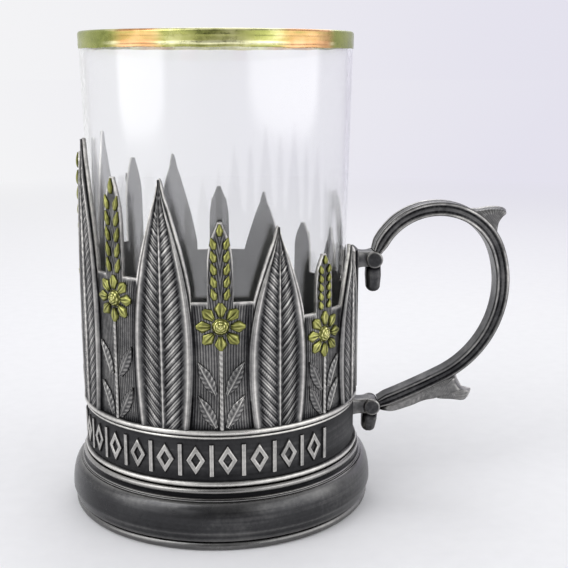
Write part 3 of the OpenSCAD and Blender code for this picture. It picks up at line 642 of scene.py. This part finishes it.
# Tall leaves: a rib, two borders, and veins with hatching between them
VEIN, HATCH, BEAD, LEAN = 4.4, 0.88, 1.7, 1.15
COLS = np.array([0, 0.05, 0.1, 0.36, 0.62, 0.74, 0.84, 0.93, 1])
RISE = np.array([1, 0.72, 0.55, 0.62, 0.34, 0.66, 0.92, 0.72, 0.30])
t = np.sin(np.linspace(0, PI / 2, 230)) * 0.35 + np.linspace(0, 1, 230) * 0.65
w = np.unique(np.concatenate([np.linspace(-1, 1, 37), [-0.95, 0.95, -0.88, 0.88, -0.03, 0.03]]))
T, W = np.meshgrid(t, w, indexing="ij")
half = leaf_half(T)
u = W * half
body = smooth(np.abs(W), 0.72, 0.60) * smooth(np.abs(W), 0.05, 0.13)
batch = Batch()
for turn in LEAF_TURNS:
    rise = T * (crest(turn) - FOOT_Z)
    vein_at = (rise - LEAN * np.abs(u)) / VEIN
    vein = bell((vein_at - np.round(vein_at)) * VEIN, 0.42)
    h = np.interp(np.abs(W), COLS, RISE) + body * (0.24 * vein + 0.16 * wave(vein_at + 0.5) - 0.06)
    h = h + 0.10 * bell(u, 0.55) * wave(rise / BEAD) * smooth(T, 0.0, 0.08) - 0.05
    h = np.clip(h * LEAF_RISE * (0.45 + 0.55 * smooth(half, 0.3, 2.2)), 0.12, 1.02)
    relief(batch, u, FOOT_Z + rise, h, turn, (6.0, 8.0), 8, 5, (rise - LEAN * np.abs(u)) / HATCH * 2 * PI,
        body * (1 - 0.8 * vein) * smooth(half, 1.2, 2.5),
        0.55 * smooth(np.abs(W), 0.95, 1.0) + 0.35 * smooth(rise, 1.5, 0.0))
batch.piece("tall_leaves", silver_relief, "blackened_silver", ["leaf_relief"], 50)


def small_grid(length, width, rows_at, halves, tilt, foot, nr, nw):
    """Grids of a small pointed motif, with its points on the sheet."""
    s = np.linspace(0, 1, nr)
    S, W = np.meshgrid(s, np.linspace(-1, 1, nw), indexing="ij")
    line = np.interp(s, rows_at, halves)[:, None]
    soft = blur(np.repeat(line, 3, 1), 2)[:, 1:2]
    x, y = W * width / 2 * (0.35 * line + 0.65 * soft), S * length
    c, q = math.cos(math.radians(tilt)), math.sin(math.radians(tilt))
    return foot[0] + x * c + y * q, foot[1] + y * c - x * q, S, W


def add_petals(batch, turn, fz):
    root_r = HEART_D * 0.55
    length = FLOWER_D / 2 - root_r
    width = 2 * PI * (root_r + length * 0.6) / PETALS * 0.92
    for a in np.arange(PETALS) * 360 / PETALS:
        b = math.radians(a)
        u, z, S, W = small_grid(length, width, [0, 0.6, 1], [0.35, 1, 0.3], a,
            (root_r * math.sin(b), fz + root_r * math.cos(b)), 17, 11)
        h = SMALL * (0.30 + 0.62 * (1 - np.abs(W) ** 2.2) * (0.55 + 0.45 * np.sin(PI * S ** 0.8)))
        h = h - 0.16 * bell(W, 0.16) * smooth(S, 0.95, 0.5)
        relief(batch, u, z, h, turn, (6.0, 7.0), 3, 2, W * 9.5, 0.8 * smooth(S, 1.0, 0.6), 0.7 * smooth(S, 0.3, 0.0))


def add_heart(batch, turn, fz):
    """A low dome with rings of small beads."""
    n_r, n_a = 22, 40
    S, B = np.meshgrid(np.linspace(0, 1, n_r), circle(n_a), indexing="ij")
    rad = S * HEART_D / 2
    ball = (HEART_D ** 2 / 4 + HEART_RISE ** 2) / (2 * HEART_RISE)
    dome = HEART_RISE - ball + np.sqrt(ball ** 2 - rad ** 2)
    knob = (1 - wave(S * 3.5)) * (0.55 + 0.45 * np.cos(B * np.maximum(1, np.round(2 + 8 * S))))
    h = dome * 0.90 + 0.15 * knob * ((S > 0.35) & (S < 0.98)) - 0.10 * (S > 0.98)
    top = wrapped(rad * np.sin(B), fz + rad * np.cos(B), R + np.clip(h, 0.05, HEART_RISE), turn)
    under = wrapped(rad[-1] * np.sin(B[-1]), fz + rad[-1] * np.cos(B[-1]), R, turn)
    wear, cav = np.minimum(1, 0.2 + knob), 0.64 * (1 - knob) * (S > 0.3)
    # The first row is one point, and the last row is the edge of the flat back
    faces = strips(n_r, n_a, first=1) + [[0, 1 + j, 1 + (j + 1) % n_a] for j in range(n_a)]
    faces.append([1 + (n_r - 1) * n_a + j for j in range(n_a)])
    flat = np.ones(n_a)
    batch.add(np.concatenate([top[0, :1], *top[1:], under]), faces,
        wear=np.concatenate([wear[0, :1], *wear[1:], flat * 0.0]), cav=np.concatenate([cav[0, :1], *cav[1:], flat]))


def add_ear(batch, turn, fz):
    low_z, tip = fz + FLOWER_D / 2 + MARGIN, station(turn, EAR_END)
    step = (tip - low_z) / (PAIRS + 1)
    length, width = step * 0.97, EAR_W * 0.4
    spots = [(side * 16.0, side * width * 0.62, low_z + step * i) for i in range(PAIRS) for side in (-1, 1)]
    for tilt, x0, z0 in spots + [(0.0, 0.0, tip - length)]:
        u, z, S, W = small_grid(length, width, [0, 0.45, 1], [0.5, 1, 0.15], tilt, (x0, z0), 22, 11)
        h = SMALL * (0.22 + 0.76 * (1 - np.abs(W) ** 2) * np.sin(PI * (0.12 + 0.80 * S ** 0.8)))
        h = h - 0.10 * bell(W, 0.14) * smooth(S, 0.1, 0.35) * smooth(S, 0.95, 0.6)
        relief(batch, u, z, np.maximum(h, 0.08), turn, (5.0, 6.0), 3, 3, W * 8, 0.5,
            0.55 * smooth(np.abs(W), 0.75, 1.0) + 0.4 * smooth(S, 0.16, 0.0))


def add_stem_leaves(batch, turn, room):
    length = min(STEM_LEAF, room * 0.58)
    width = length * 0.36
    for share in (0.03, 0.45):
        for side in (-1, 1):
            u, z, S, W = small_grid(length, width, [0, 0.3, 0.65, 1], [0.35, 0.95, 0.9, 0.08], side * 27,
                (side * (STEM_W / 2 + width * 0.28), FOOT_Z + share * room), 26, 15)
            h = SMALL * (0.28 + 0.5 * (1 - np.abs(W) ** 3) + 0.30 * bell(W, 0.13) * smooth(S, 1, 0.8))
            h = h - 0.12 * wave(S * length / 1.25 - np.abs(W) * 0.7) * smooth(np.abs(W), 0.15, 0.4)
            relief(batch, u, z, np.clip(h, 0.08, SMALL), turn, (6.0, 7.0), 4, 2,
                extra_cav=0.4 * smooth(np.abs(W), 0.85, 1.0))


def add_stem(batch, turn, room):
    """A half-round rib with a slight twist."""
    Z, W = np.meshgrid(np.linspace(FOOT_Z, FOOT_Z + room - FILM, 60), np.linspace(-1, 1, 9), indexing="ij")
    h = SMALL * 0.75 * np.sqrt(np.maximum(1 - 0.9 * W ** 2, 0)) * (0.90 + 0.10 * np.cos(2 * PI * (Z + W * 0.35) / 1.3))
    relief(batch, W * STEM_W / 2, Z, h, turn, (5.0, 6.0), 2, 3, extra_cav=0.5 * smooth(np.abs(W), 0.7, 1.0))


petals, hearts, ears, stem_leaves, stems = Batch(), Batch(), Batch(), Batch(), Batch()
for turn in FLOWER_TURNS:
    fz = station(turn, FLOWER_AT)
    room = fz - FLOWER_D / 2 - FOOT_Z
    add_petals(petals, turn, fz)
    add_heart(hearts, turn, fz)
    add_ear(ears, turn, fz)
    add_stem_leaves(stem_leaves, turn, room)
    add_stem(stems, turn, room)
petals.piece("flower_petal_relief", gilt, "gilding", ["flower_petals"], 50)
hearts.piece("beaded_flower_hearts", gilt, "gilding", ["gilt_flower_hearts"], 60)
ears.piece("ears_of_wheat", gilt, "gilding", ["gilt_wheat_ears"], 60)
stem_leaves.piece("stem_leaf_relief", silver_relief, "blackened_silver", ["stem_leaves"], 50)
stems.piece("twisted_stems", silver_bright, "bright_silver", ["stems"], 60)

# Collar, its border and the wires
collar = [(BORE, LEDGE_Z)] + [(R, z) for z in (LEDGE_Z, 17.2, 19, 21, 23, 25, COLLAR_TOP)] + [(BORE, COLLAR_TOP)]
verts, faces, which = lathe(collar, SEG)
near_edge = np.maximum(smooth(verts[:, 2], 18.0, 16.6), smooth(verts[:, 2], 24.6, 25.6))
add_piece("collar", verts, faces, [collar_metal, inside], "holder", ["collar_band"],
    {"cav": near_edge * 0.6}, [all(which[v] in (0, len(collar) - 1) for v in f) for f in faces])

# Across a stroke of the border: place, height, wear and hollows
ACROSS = np.array([-0.5, -0.39, -0.28, -0.12, 0.12, 0.28, 0.39, 0.5]) * STROKE
STROKE_H = np.array([0.0, 0.72, 0.94, 1.0, 1.0, 0.94, 0.72, 0.0]) * BAND_RISE
STROKE_WEAR = [0.0, 0.15, 0.75, 0.45, 0.45, 0.75, 0.15, 0.0]
STROKE_CAV = [1.0, 0.5, 0.0, 0.0, 0.0, 0.0, 0.5, 1.0]


def unit_rows(v):
    return v / np.linalg.norm(v, axis=1)[:, None]


def stroke(batch, path, turn, loop):
    """A raised stroke with sloping sides and a rounded top, laid along a path of (arc length, height)."""
    p = np.asarray(path, float)
    if loop:
        before, after = p - np.roll(p, 1, 0), np.roll(p, -1, 0) - p
    else:
        legs = p[1:] - p[:-1]
        before, after = np.concatenate([legs[:1], legs]), np.concatenate([legs, legs[-1:]])
    before, after = unit_rows(before), unit_rows(after)
    side = np.stack([-before[:, 1], before[:, 0]], 1)
    mitre = unit_rows(side + np.stack([-after[:, 1], after[:, 0]], 1))
    mitre /= np.clip((mitre * side).sum(1), 0.45, 1)[:, None]
    n, k = len(p), len(ACROSS)
    pts = p[:, None, :] + mitre[:, None, :] * ACROSS[None, :, None]
    batch.add(wrapped(pts[..., 0], pts[..., 1], R + STROKE_H, turn), strips(n, k, True) if loop else tube(n, k),
        wear=np.tile(STROKE_WEAR, n), cav=np.tile(STROKE_CAV, n))


def dense(points, pitch, loop=False):
    """Points along a path at about the given pitch, so that its strokes bend with the sheet."""
    out = []
    pts = points + points[:1] * loop
    for a, b in zip(pts[:-1], pts[1:]):
        n = max(1, round(math.dist(a, b) / pitch))
        out += [(a[0] + (b[0] - a[0]) * i / n, a[1] + (b[1] - a[1]) * i / n) for i in range(n)]
    return out if loop else out + [pts[-1]]


border = Batch()
unit = BAND_ARC / UNITS
half_w = R * math.radians(unit) / 2 - STROKE
half_h = BAND_H / 2
inset = STROKE / 2 * math.hypot(half_w, half_h)
dx, dz = half_w - inset / half_h, half_h - inset / half_w
for k in range(UNITS + 1):
    turn = 180 - BAND_ARC / 2 + k * unit
    stroke(border, dense([(0, BAND_Z - half_h), (0, BAND_Z + half_h)], 0.7), turn, False)
    if k < UNITS:
        lozenge = [(-dx, BAND_Z), (0, BAND_Z + dz), (dx, BAND_Z), (0, BAND_Z - dz)]
        stroke(border, dense(lozenge, 0.5, True), turn + unit / 2, True)
border.piece("collar_border", silver_border, "bright_silver", ["band_ornament"], 40)


def wire_piece(name, r, z, node):
    outline = [(R - 0.01, z - r), *arc((R, z), r, -90, 90, 14), (R - 0.01, z + r)]
    w = bell(np.arange(len(outline)) - len(outline) / 2, 3.2)
    turned_piece(name, outline, silver_bright, "holder", "bright_silver", [node], 0.6 * w, 0.9 * (1 - w))


wire_piece("wire_upper", RING, COLLAR_TOP, "upper_wire_ring")
wire_piece("wire_fine", FINE_RING, FINE_Z, "fine_wire_ring")
wire_piece("wire_lower", RING, LOW_RING_Z, "lower_wire_ring")

# Foot: bead, skirt, swell, neck and the roll that meets the sleeve, then its hollow underside
foot_r = R + FOOT_FLARE
bead_r = FOOT_H * 0.075
bead_c = foot_r - FOOT_H * 0.12
skirt_z, step_z = FOOT_H * 0.32, FOOT_H * 0.8
top_r = R + SHELL
step_r = top_r + (foot_r - top_r) * 0.2
skirt_r = foot_r - step_r
neck_r, neck_z = top_r + (step_r - top_r) * 0.6, step_z + SHELL / 3


def swell(r, top, a, b, n):
    return [(r + skirt_r * math.cos(w), skirt_z + (top - skirt_z) * math.sin(w)) for w in np.linspace(a, b, n)]


outline = [(bead_c - SHELL, 0), (bead_c, 0)] + arc((bead_c, bead_r), bead_r, -66, 66, 14)
outline += [(bead_c + 0.10, 2 * bead_r + 0.02), (bead_c + 0.12, 2 * bead_r + 0.22),
    (foot_r - SHELL / 4 - 0.25, 2 * bead_r + 0.38), (foot_r - SHELL / 4, skirt_z - bead_r),
    (foot_r - 0.12, skirt_z - bead_r * 0.4)]
outline += swell(step_r, step_z, 0, PI / 2, 22)
outline += [(step_r, step_z + SHELL / 4 - 0.1), (step_r - 0.12, step_z + SHELL / 4), (neck_r + 0.05, neck_z - 0.06),
    (neck_r, neck_z + 0.1), (top_r - 0.15, neck_z + 0.35)]
outline += arc((top_r - SHELL / 2, FOOT_H - SHELL / 2), SHELL / 2, -50, 90, 12)
outline += [(R + 0.005, FOOT_H), (R + 0.005, LEDGE_Z), (BORE - LEDGE_W, LEDGE_Z), (BORE - LEDGE_W, LEDGE_Z - SHELL)]
outline += swell(step_r - SHELL, LEDGE_Z - SHELL, PI / 2, 0, 14) + [(foot_r - SHELL * 1.6, skirt_z - bead_r)]
turned_piece("turned_foot", outline, foot_metal, "holder", "blackened_silver", ["foot"], *edge_wear(outline, 1.5))

# Floor plate: two pressed grooves below, and the ring above on which the glass stands
seat_in = HEEL_R - HEEL_ROUND - STAND_W
base_z = FLOOR_Z - SEAT_H
groove_z = LEDGE_Z + 0.12
outline = [(0, LEDGE_Z)]
for r in (10, 22):
    outline += [(r, LEDGE_Z), (r + 0.3, groove_z), (r + 1.2, groove_z), (r + 1.5, LEDGE_Z)]
outline += [(BORE, LEDGE_Z), (BORE, base_z), (HEEL_R + SEAT_H, base_z), (HEEL_R + 0.12, FLOOR_Z - 0.05),
    (HEEL_R - 0.1, FLOOR_Z), (seat_in + 0.1, FLOOR_Z), (seat_in - 0.12, FLOOR_Z - 0.05), (seat_in - SEAT_H, base_z),
    (seat_in / 2 + SEAT_H, base_z), (seat_in / 2, base_z + SEAT_H / 2), (seat_in / 2 - SEAT_H, base_z), (0, base_z)]
turned_piece("stamped_floor", outline, floor_metal, "holder", "blackened_silver", ["floor_plate"],
    *edge_wear(outline, 0.8), seg=256)

# Plate under the upper lug: bevelled, with a beaded border line
Z, W = np.meshgrid(np.linspace(FOOT_Z, PLATE_TOP, 130), np.linspace(-1, 1, 33), indexing="ij")
edge = np.minimum((1 - np.abs(W)) * PLATE_W / 2, PLATE_TOP - Z)
h = PLATE_T * (0.55 + 0.45 * smooth(edge, 0.0, 0.35)) - 0.22 * bell(edge - 0.85, 0.2)
h = h + 0.10 * smooth(edge, 1.1, 1.4) * (wave((np.abs(W) * 4.2 + Z) / 2.6) - 1)
plate = Batch()
relief(plate, W * PLATE_W / 2, Z, np.clip(h, 0.1, PLATE_T), 0.0, (7.0, 7.0), 6, 3)
plate.piece("handle_back_plate", silver_dark, "blackened_silver", ["handle_plate"], 45)

# Bow: four arcs from the lower knuckle to the upper one, given by their relative radii and their turns in degrees
RADII, SWEEP = [3.8, 0.53, 0.323, 0.53], [6, 83, 128, 12.5]


def bow_step(i, sweep):
    h0 = math.radians(sum(SWEEP[:i]))
    h1 = h0 + math.radians(sweep)
    return RADII[i] * np.array([math.sin(h1) - math.sin(h0), math.cos(h0) - math.cos(h1)])


def bow_start(i):
    return sum((bow_step(k, SWEEP[k]) for k in range(i)), np.zeros(2))


chord = bow_start(4)
bow_size = (UP_Z - LOW_Z) / np.hypot(*chord)
bow_turn = 90 - math.degrees(math.atan2(chord[1], chord[0]))


def on_bow(i, share):
    """The bow's middle in the handle's plane (x, z), and its heading in degrees."""
    p = bow_size * (bow_start(i) + bow_step(i, SWEEP[i] * share))
    b = math.radians(bow_turn)
    x, z = p[0] * math.cos(b) - p[1] * math.sin(b), p[0] * math.sin(b) + p[1] * math.cos(b)
    return np.array([KNUCKLE_X + x, LOW_Z + z]), sum(SWEEP[:i]) + SWEEP[i] * share + bow_turn


# The bow's section, from its inner edge along one grooved side and its outer land: (out, side) as shares
GROOVED = [(-0.5, 0.40), (-0.488, 0.44), (-0.45, 0.477), (-0.39, 0.496), (-0.33, 0.496), (-0.27, 0.478), (-0.22, 0.448),
    (-0.15, 0.436), (-0.08, 0.446), (0.0, 0.45)]
GROOVED += [(-o, s) for o, s in GROOVED[-2::-1]]
LAND = [(0.5, 0.35), (0.488, 0.31), (0.455, 0.27), (0.445, 0.2), (0.462, 0.08), (0.466, 0.0)]
section = GROOVED + LAND
section += [(o, -s) for o, s in section[-2::-1]]
section += [(-0.5, -0.35), (-0.492, -0.2), (-0.485, 0.0), (-0.492, 0.2), (-0.5, 0.35)]
sec = np.array(section)
out, side = sec[:, 0], np.abs(sec[:, 1])
ridges = (np.abs(np.abs(out) - 0.36) < 0.07) & (side > 0.45) | (out > 0.48) & (side < 0.42)
grooves = (np.abs(np.abs(out) - 0.17) < 0.08) | (out > 0.43) & (side > 0.15) & (side < 0.3)
sec_wear, sec_cav = 0.55 * ridges, 0.65 * grooves
PACE = 0.45
stations = [(0, 0.0)]
for i in range(4):
    n = math.ceil(SWEEP[i] * RADII[i] * bow_size * PI / 180 / PACE)
    stations += [(i, (k + 1) / n) for k in range(n)]
rings = []
ends = np.array([[KNUCKLE_X, LOW_Z], [KNUCKLE_X, UP_Z]])
for i, share in stations:
    c, hd = on_bow(i, share)
    gap = np.hypot(*(ends - c).T).min()
    if gap < KNUCKLE - 0.35:
        continue
    # The bow is slimmer towards its ends, and narrows where it enters the knuckles
    way = (hd - bow_turn) / sum(SWEEP)
    slim = 0.24 * smooth(way, 0.50, 0.04) + 0.12 * smooth(way, 0.72, 1.0)
    out = sec[:, 0] * BOW_T * (1 - 0.45 * slim) * (1 - 0.30 * smooth(gap, 4.8, 1.9))
    a = math.radians(hd)
    rings.append(np.stack([c[0] + out * math.sin(a), sec[:, 1] * BOW_W * (1 - slim), c[1] - out * math.cos(a)], -1))
rings = np.array(rings)
rings[..., 0] = np.minimum(rings[..., 0], CAD_BOX[1][0] / MM - 0.002)
n, k = rings.shape[:2]
row = np.arange(n)[:, None]
mottle = soft_noise((n, k), (60, 8), 11)
# The lower half of the bow is darker
darker_low = 0.34 * smooth(row / n, 0.52, 0.36) * (0.6 + 0.8 * mottle)
add_piece("cast_bow", rings.reshape(-1, 3), tube(n, k), [silver_handle], "holder", ["handle_bow"],
    {"wear": np.clip(sec_wear * (0.6 + 0.8 * mottle), 0, 1),
        "cav": np.clip(sec_cav * (0.7 + 0.6 * mottle) + darker_low, 0, 1),
        "hatch": np.broadcast_to(row * PACE * 2 * PI / 1.1, (n, k)),
        "hatch_w": np.broadcast_to(sec_cav * 0.9, (n, k))}, sharp=45)


def smooth_loop(points, n):
    """A closed outline through the given points, rounded by a Catmull-Rom curve."""
    p = np.asarray(points, float)
    out = []
    for a, b, c, d in zip(np.roll(p, 1, 0), p, np.roll(p, -1, 0), np.roll(p, -2, 0)):
        for s in np.arange(n) / n:
            out.append(0.5 * (2 * b + (c - a) * s + (2 * a - 5 * b + 4 * c - d) * s ** 2
                + (3 * b - a - 3 * c + d) * s ** 3))
    return np.array(out)


def bow_leaf_piece(name, i, share, length, outline, along, node):
    """A leaf that springs from the bow: its outline is given in the handle's plane and swells across its width."""
    c, hd = on_bow(i, share)
    a = math.radians(hd)
    ahead, inward = np.array([math.cos(a), math.sin(a)]), np.array([-math.sin(a), math.cos(a)])
    loop = smooth_loop(outline, 5) * length
    mid = loop.mean(0)
    away = loop - mid
    away /= np.linalg.norm(away, axis=1)[:, None] + 1e-6
    phis = np.linspace(-PI / 2, PI / 2, 17)
    rib = 0.035 * length
    layers = []
    for phi in phis:
        shrink = 0.42 * (1 - max(math.cos(phi), 0.0) ** 0.35) if abs(phi) < PI / 2 else 0.42
        pts = loop + (mid - loop) * shrink + away * rib * (bell(math.sin(phi), 0.16) - 1)
        flat = c + pts[:, :1] * along * ahead - (BOW_T / 2 + pts[:, 1:]) * inward
        layers.append(np.stack([flat[:, 0], np.full(len(loop), BOW_W * 0.39 * math.sin(phi)), flat[:, 1]], -1))
    s = np.abs(np.sin(phis))[:, None]
    reach = np.clip(loop[:, 0] / length, 0, 1)[None]
    wear = 0.45 * bell(s, 0.2) + 0.18 * smooth(reach, 0.75, 0.95) + 0.18
    cav = 0.8 * bell(s - 0.42, 0.16) * smooth(reach, 0.95, 0.6)
    phase = (reach * length + s * 2.0) / 0.8 * 2 * PI
    add_piece(name, np.concatenate(layers), tube(len(phis), len(loop)), [silver_handle], "holder",
        [node], {"wear": wear, "cav": cav, "hatch": phase, "hatch_w": 0.9}, sharp=60)


THUMB = [(-0.02, -0.03), (0.15, 0.11), (0.31, 0.24), (0.5, 0.36), (0.69, 0.44), (0.82, 0.46), (0.92, 0.42),
    (0.885, 0.30), (0.875, 0.12), (0.915, -0.10), (1.00, -0.34), (1.07, -0.56), (1.04, -0.60), (0.92, -0.44),
    (0.76, -0.28), (0.4, -0.2)]
LOWER = [(-0.60, -0.06), (-0.58, 0.07), (-0.42, 0.095), (-0.26, 0.09), (-0.10, 0.10), (0.06, 0.125), (0.20, 0.165),
    (0.36, 0.235), (0.53, 0.31), (0.72, 0.4), (0.85, 0.48), (0.93, 0.43), (0.99, 0.35), (0.92, 0.29), (0.86, 0.22),
    (0.84, 0.07), (0.82, -0.06), (0.4, -0.1)]
bow_leaf_piece("thumb_rest_leaf", 2, 0.33, THUMB_L, THUMB, -1, "thumb_leaf")
bow_leaf_piece("under_bow_leaf", 0, 0.55, LOWER_L, LOWER, 1, "lower_leaf")


def loft(batch, centres, halves_a, halves_b, dir_a, dir_b, power, cav=0.0):
    """Superellipse sections carried along a line of centres, closed at both ends."""
    n = 32
    ca, sa = np.cos(circle(n)), np.sin(circle(n))
    a = np.sign(ca) * np.abs(ca) ** (2 / power)
    b = np.sign(sa) * np.abs(sa) ** (2 / power)
    v = [c + np.outer(a * x, dir_a) + np.outer(b * y, dir_b) for c, x, y in zip(centres, halves_a, halves_b)]
    corner = (np.abs(a) * np.abs(b)) ** 3
    batch.add(np.concatenate(v), tube(len(v), n), wear=np.tile(corner * 0.8, len(v)),
        cav=np.repeat(np.broadcast_to(cav, len(v)), n))


def mirrored(values):
    return np.array(values[::-1] + values[1:], float)


# Along half of a knuckle, from its middle to its end: place, radius, hollows and wear
KNOB_Y = [0, 0.3, 0.62, 0.66, 0.70, 0.78, 0.90, 0.97, 1]
KNOB_R = [0.98, 0.97, 0.95, 0.87, 0.97, 1, 0.985, 0.90, 0.72]
KNOB_CAV = [0, 0, 0.3, 1, 0.2, 0, 0, 0, 0.2]
KNOB_WEAR = [0.2, 0.2, 0.2, 0, 0.2, 0.5, 0.5, 0.7, 0.1]


def lug_piece(name, z, seat_r, node):
    """An arm from the sleeve, with a grooved knuckle across its end."""
    b = Batch()
    xs = np.linspace(seat_r - 0.16, KNUCKLE_X - 0.6, 14)
    bow = np.sin(PI * np.linspace(0, 1, 14))
    loft(b, [(x, 0, z) for x in xs], BOW_W * 0.87 / 2 * (1 - 0.16 * bow), KNUCKLE * (1 - 0.10 * bow),
        (0, 1, 0), (0, 0, 1), 7.0)
    n = 36
    y, r = mirrored(KNOB_Y)[:, None] * BOW_W / 2, mirrored(KNOB_R)[:, None] * KNUCKLE
    y[:len(KNOB_Y) - 1] *= -1
    x, y, h = np.broadcast_arrays(KNUCKLE_X + r * np.cos(circle(n)), y, z + r * np.sin(circle(n)))
    b.add(np.stack([x, y, h], -1), tube(len(x), n), wear=np.repeat(mirrored(KNOB_WEAR), n),
        cav=np.repeat(mirrored(KNOB_CAV), n))
    b.piece(name, silver_dark, "blackened_silver", [node], 40)


def curl_piece(name, z, length, lean, node):
    """A tongue that hangs from the knuckle, with a rounded end."""
    b = Batch()
    end = BOW_T * 0.42
    a = math.radians(lean)
    down, side = np.array([math.sin(a), 0.0, -math.cos(a)]), np.array([math.cos(a), 0.0, math.sin(a)])
    ds = np.concatenate([np.linspace(KNUCKLE * 0.55, length - end, 16),
        length - end + end * np.sin(np.linspace(0.15, PI / 2 - 0.06, 9))])
    half = np.interp(ds, [0, length / 2, length - end], [BOW_T / 2, BOW_T / 2 * 1.12, end * 1.2])
    rounding = np.where(ds > length - end, np.sqrt(np.maximum(1 - ((ds - length + end) / end) ** 2, 0.01)), 1.0)
    wide = BOW_W * 0.8 / 2 * (1 - 0.18 * smooth(ds, length * 0.45, length)) * rounding ** 0.6
    loft(b, [np.array([KNUCKLE_X, 0.0, z]) + down * d for d in ds], half * rounding, wide, side, (0, 1, 0), 3.2,
        smooth(ds, KNUCKLE * 1.5, KNUCKLE * 0.9))
    b.piece(name, silver_dark, "blackened_silver", [node], 50)


lug_piece("lug_upper", UP_Z, PLATE_R, "upper_lug")
lug_piece("lug_lower", LOW_Z, R, "lower_lug")
curl_piece("curl_upper", UP_Z, UP_CURL, 0.0, "upper_curl")
curl_piece("curl_lower", LOW_Z, LOW_CURL, -6.0, "lower_curl")

# Floor, world and lamps: the backdrop goes from white on the left to a faint violet on the right
BACK_LEFT, BACK_RIGHT = (0.90, 0.90, 0.915, 1.0), (0.775, 0.76, 0.85, 1.0)


def floor_piece():
    """A wide disc that fades into the backdrop."""
    n, radii = 96, [0.05, 0.12, 0.25, 0.5, 1.0, 2.5, 6.0]
    verts = np.concatenate([[(0.0, 0.0, 0.0)]] + [polar(r, circle(n), 0.0) for r in radii])
    faces = [[0, 1 + k, 1 + (k + 1) % n] for k in range(n)] + [f[::-1] for f in strips(len(radii), n, first=1)]
    me = bpy.data.meshes.new("ground")
    me.from_pydata(verts.tolist(), [], faces)
    ob = bpy.data.objects.new("ground", me)
    bpy.context.scene.collection.objects.link(ob)
    t = material("pale_ground")
    position = t.node("ShaderNodeNewGeometry").outputs["Position"]
    speck = t.ramp(t.noise(220.0, 3.0), [(0.3, (0.80, 0.80, 0.82)), (0.7, (0.82, 0.82, 0.84))])
    aside = t.split(t.vector("NORMALIZE", position))["X"]
    back = t.blend(t.span(aside, -0.25, 0.35, 0.0, 1.0), BACK_LEFT, BACK_RIGHT)
    near = t.node("ShaderNodeBsdfDiffuse", Color=speck)
    glow = t.node("ShaderNodeEmission", Color=back, Strength=1.0)
    far = t.span(t.vector("LENGTH", position), 0.22, 0.75, 0.0, 1.0)
    me.materials.append(t.surface(near.outputs[0], glow.outputs[0], far))


floor_piece()

world = bpy.data.worlds.new("studio")
bpy.context.scene.world = world
t = Tree(world, "ShaderNodeOutputWorld")
way = t.split(t.node("ShaderNodeTexCoord").outputs["Generated"])
level = t.math("ADD", t.ease(way["Z"], 0.0, 0.95, 0.14, 0.50), t.ease(way["Y"], -0.4, 0.8, 0.0, 0.36))
level = t.math("ADD", level, t.ease(t.math("ABSOLUTE", way["X"]), 0.15, 0.85, 0.0, 0.42))
studio = t.node("ShaderNodeBackground", Color=(1.0, 1.0, 1.02, 1.0), Strength=level)
back = t.blend(t.ease(way["X"], -0.25, 0.35, 0.0, 1.0), BACK_LEFT, BACK_RIGHT)
shown = t.node("ShaderNodeBackground", Color=back, Strength=1.0)
path = t.node("ShaderNodeLightPath").outputs
seen = t.math("MAXIMUM", path["Is Camera Ray"], path["Is Transmission Ray"])
# Metal and glass mirror the backdrop that stands behind the object
behind = t.math("MULTIPLY", path["Is Glossy Ray"], t.ease(way["Y"], 0.1, 0.6, 0.0, 1.0))
t.surface(studio.outputs[0], shown.outputs[0], t.math("MAXIMUM", seen, behind))


def lamp(name, place, wide, tall, power, aim_z, fade=None):
    """A soft box. fade gives the shares of its width and height over which it dims: left, right, low, high."""
    data = bpy.data.lights.new(name, "AREA")
    data.energy = power
    data.shape = "RECTANGLE"
    data.size = wide
    data.size_y = tall
    ob = bpy.data.objects.new(name, data)
    ob.location = place
    ob.rotation_euler = (Vector((0.0, 0.0, aim_z)) - Vector(place)).to_track_quat("-Z", "Y").to_euler()
    bpy.context.scene.collection.objects.link(ob)
    ob.visible_transmission = False
    if fade is None:
        return
    t = Tree(data, "ShaderNodeOutputLight")
    uv = t.split(t.node("ShaderNodeNewGeometry").outputs["Parametric"])
    left, right, low, high = fade
    sides = ((0, 0.0, left), (0, 1.0, 1.0 - right), (1, 0.0, low), (1, 1.0, 1.0 - high))
    value, *others = [t.ease(uv[axis], a, b, 0.0, 1.0) for axis, a, b in sides]
    for other in others:
        value = t.math("MULTIPLY", value, other)
    t.surface(t.node("ShaderNodeEmission", Strength=t.ease(value, 0.05, 0.6, 0.0, 1.0)).outputs[0])


lamp("key", (-0.40, -0.34, 0.55), 0.40, 0.40, 1.45, 0.05)
lamp("left_panel", (-0.52, -0.25, 0.275), 0.64, 0.53, 1.8, 0.25, (0.35, 0.35, 0.11, 0.4))
lamp("right_panel", (0.48, -0.31, 0.275), 1.00, 0.53, 2.6, 0.25, (0.35, 0.35, 0.11, 0.4))
lamp("front_panel", (-0.25, -0.52, 0.16), 0.24, 0.16, 0.2, 0.15, (0.4, 0.4, 0.4, 0.3))
lamp("rim", (0.10, 0.45, 0.50), 0.40, 0.40, 0.9, 0.055)

bpy.context.scene.view_settings.view_transform = "Standard"

bpy.context.view_layer.update()
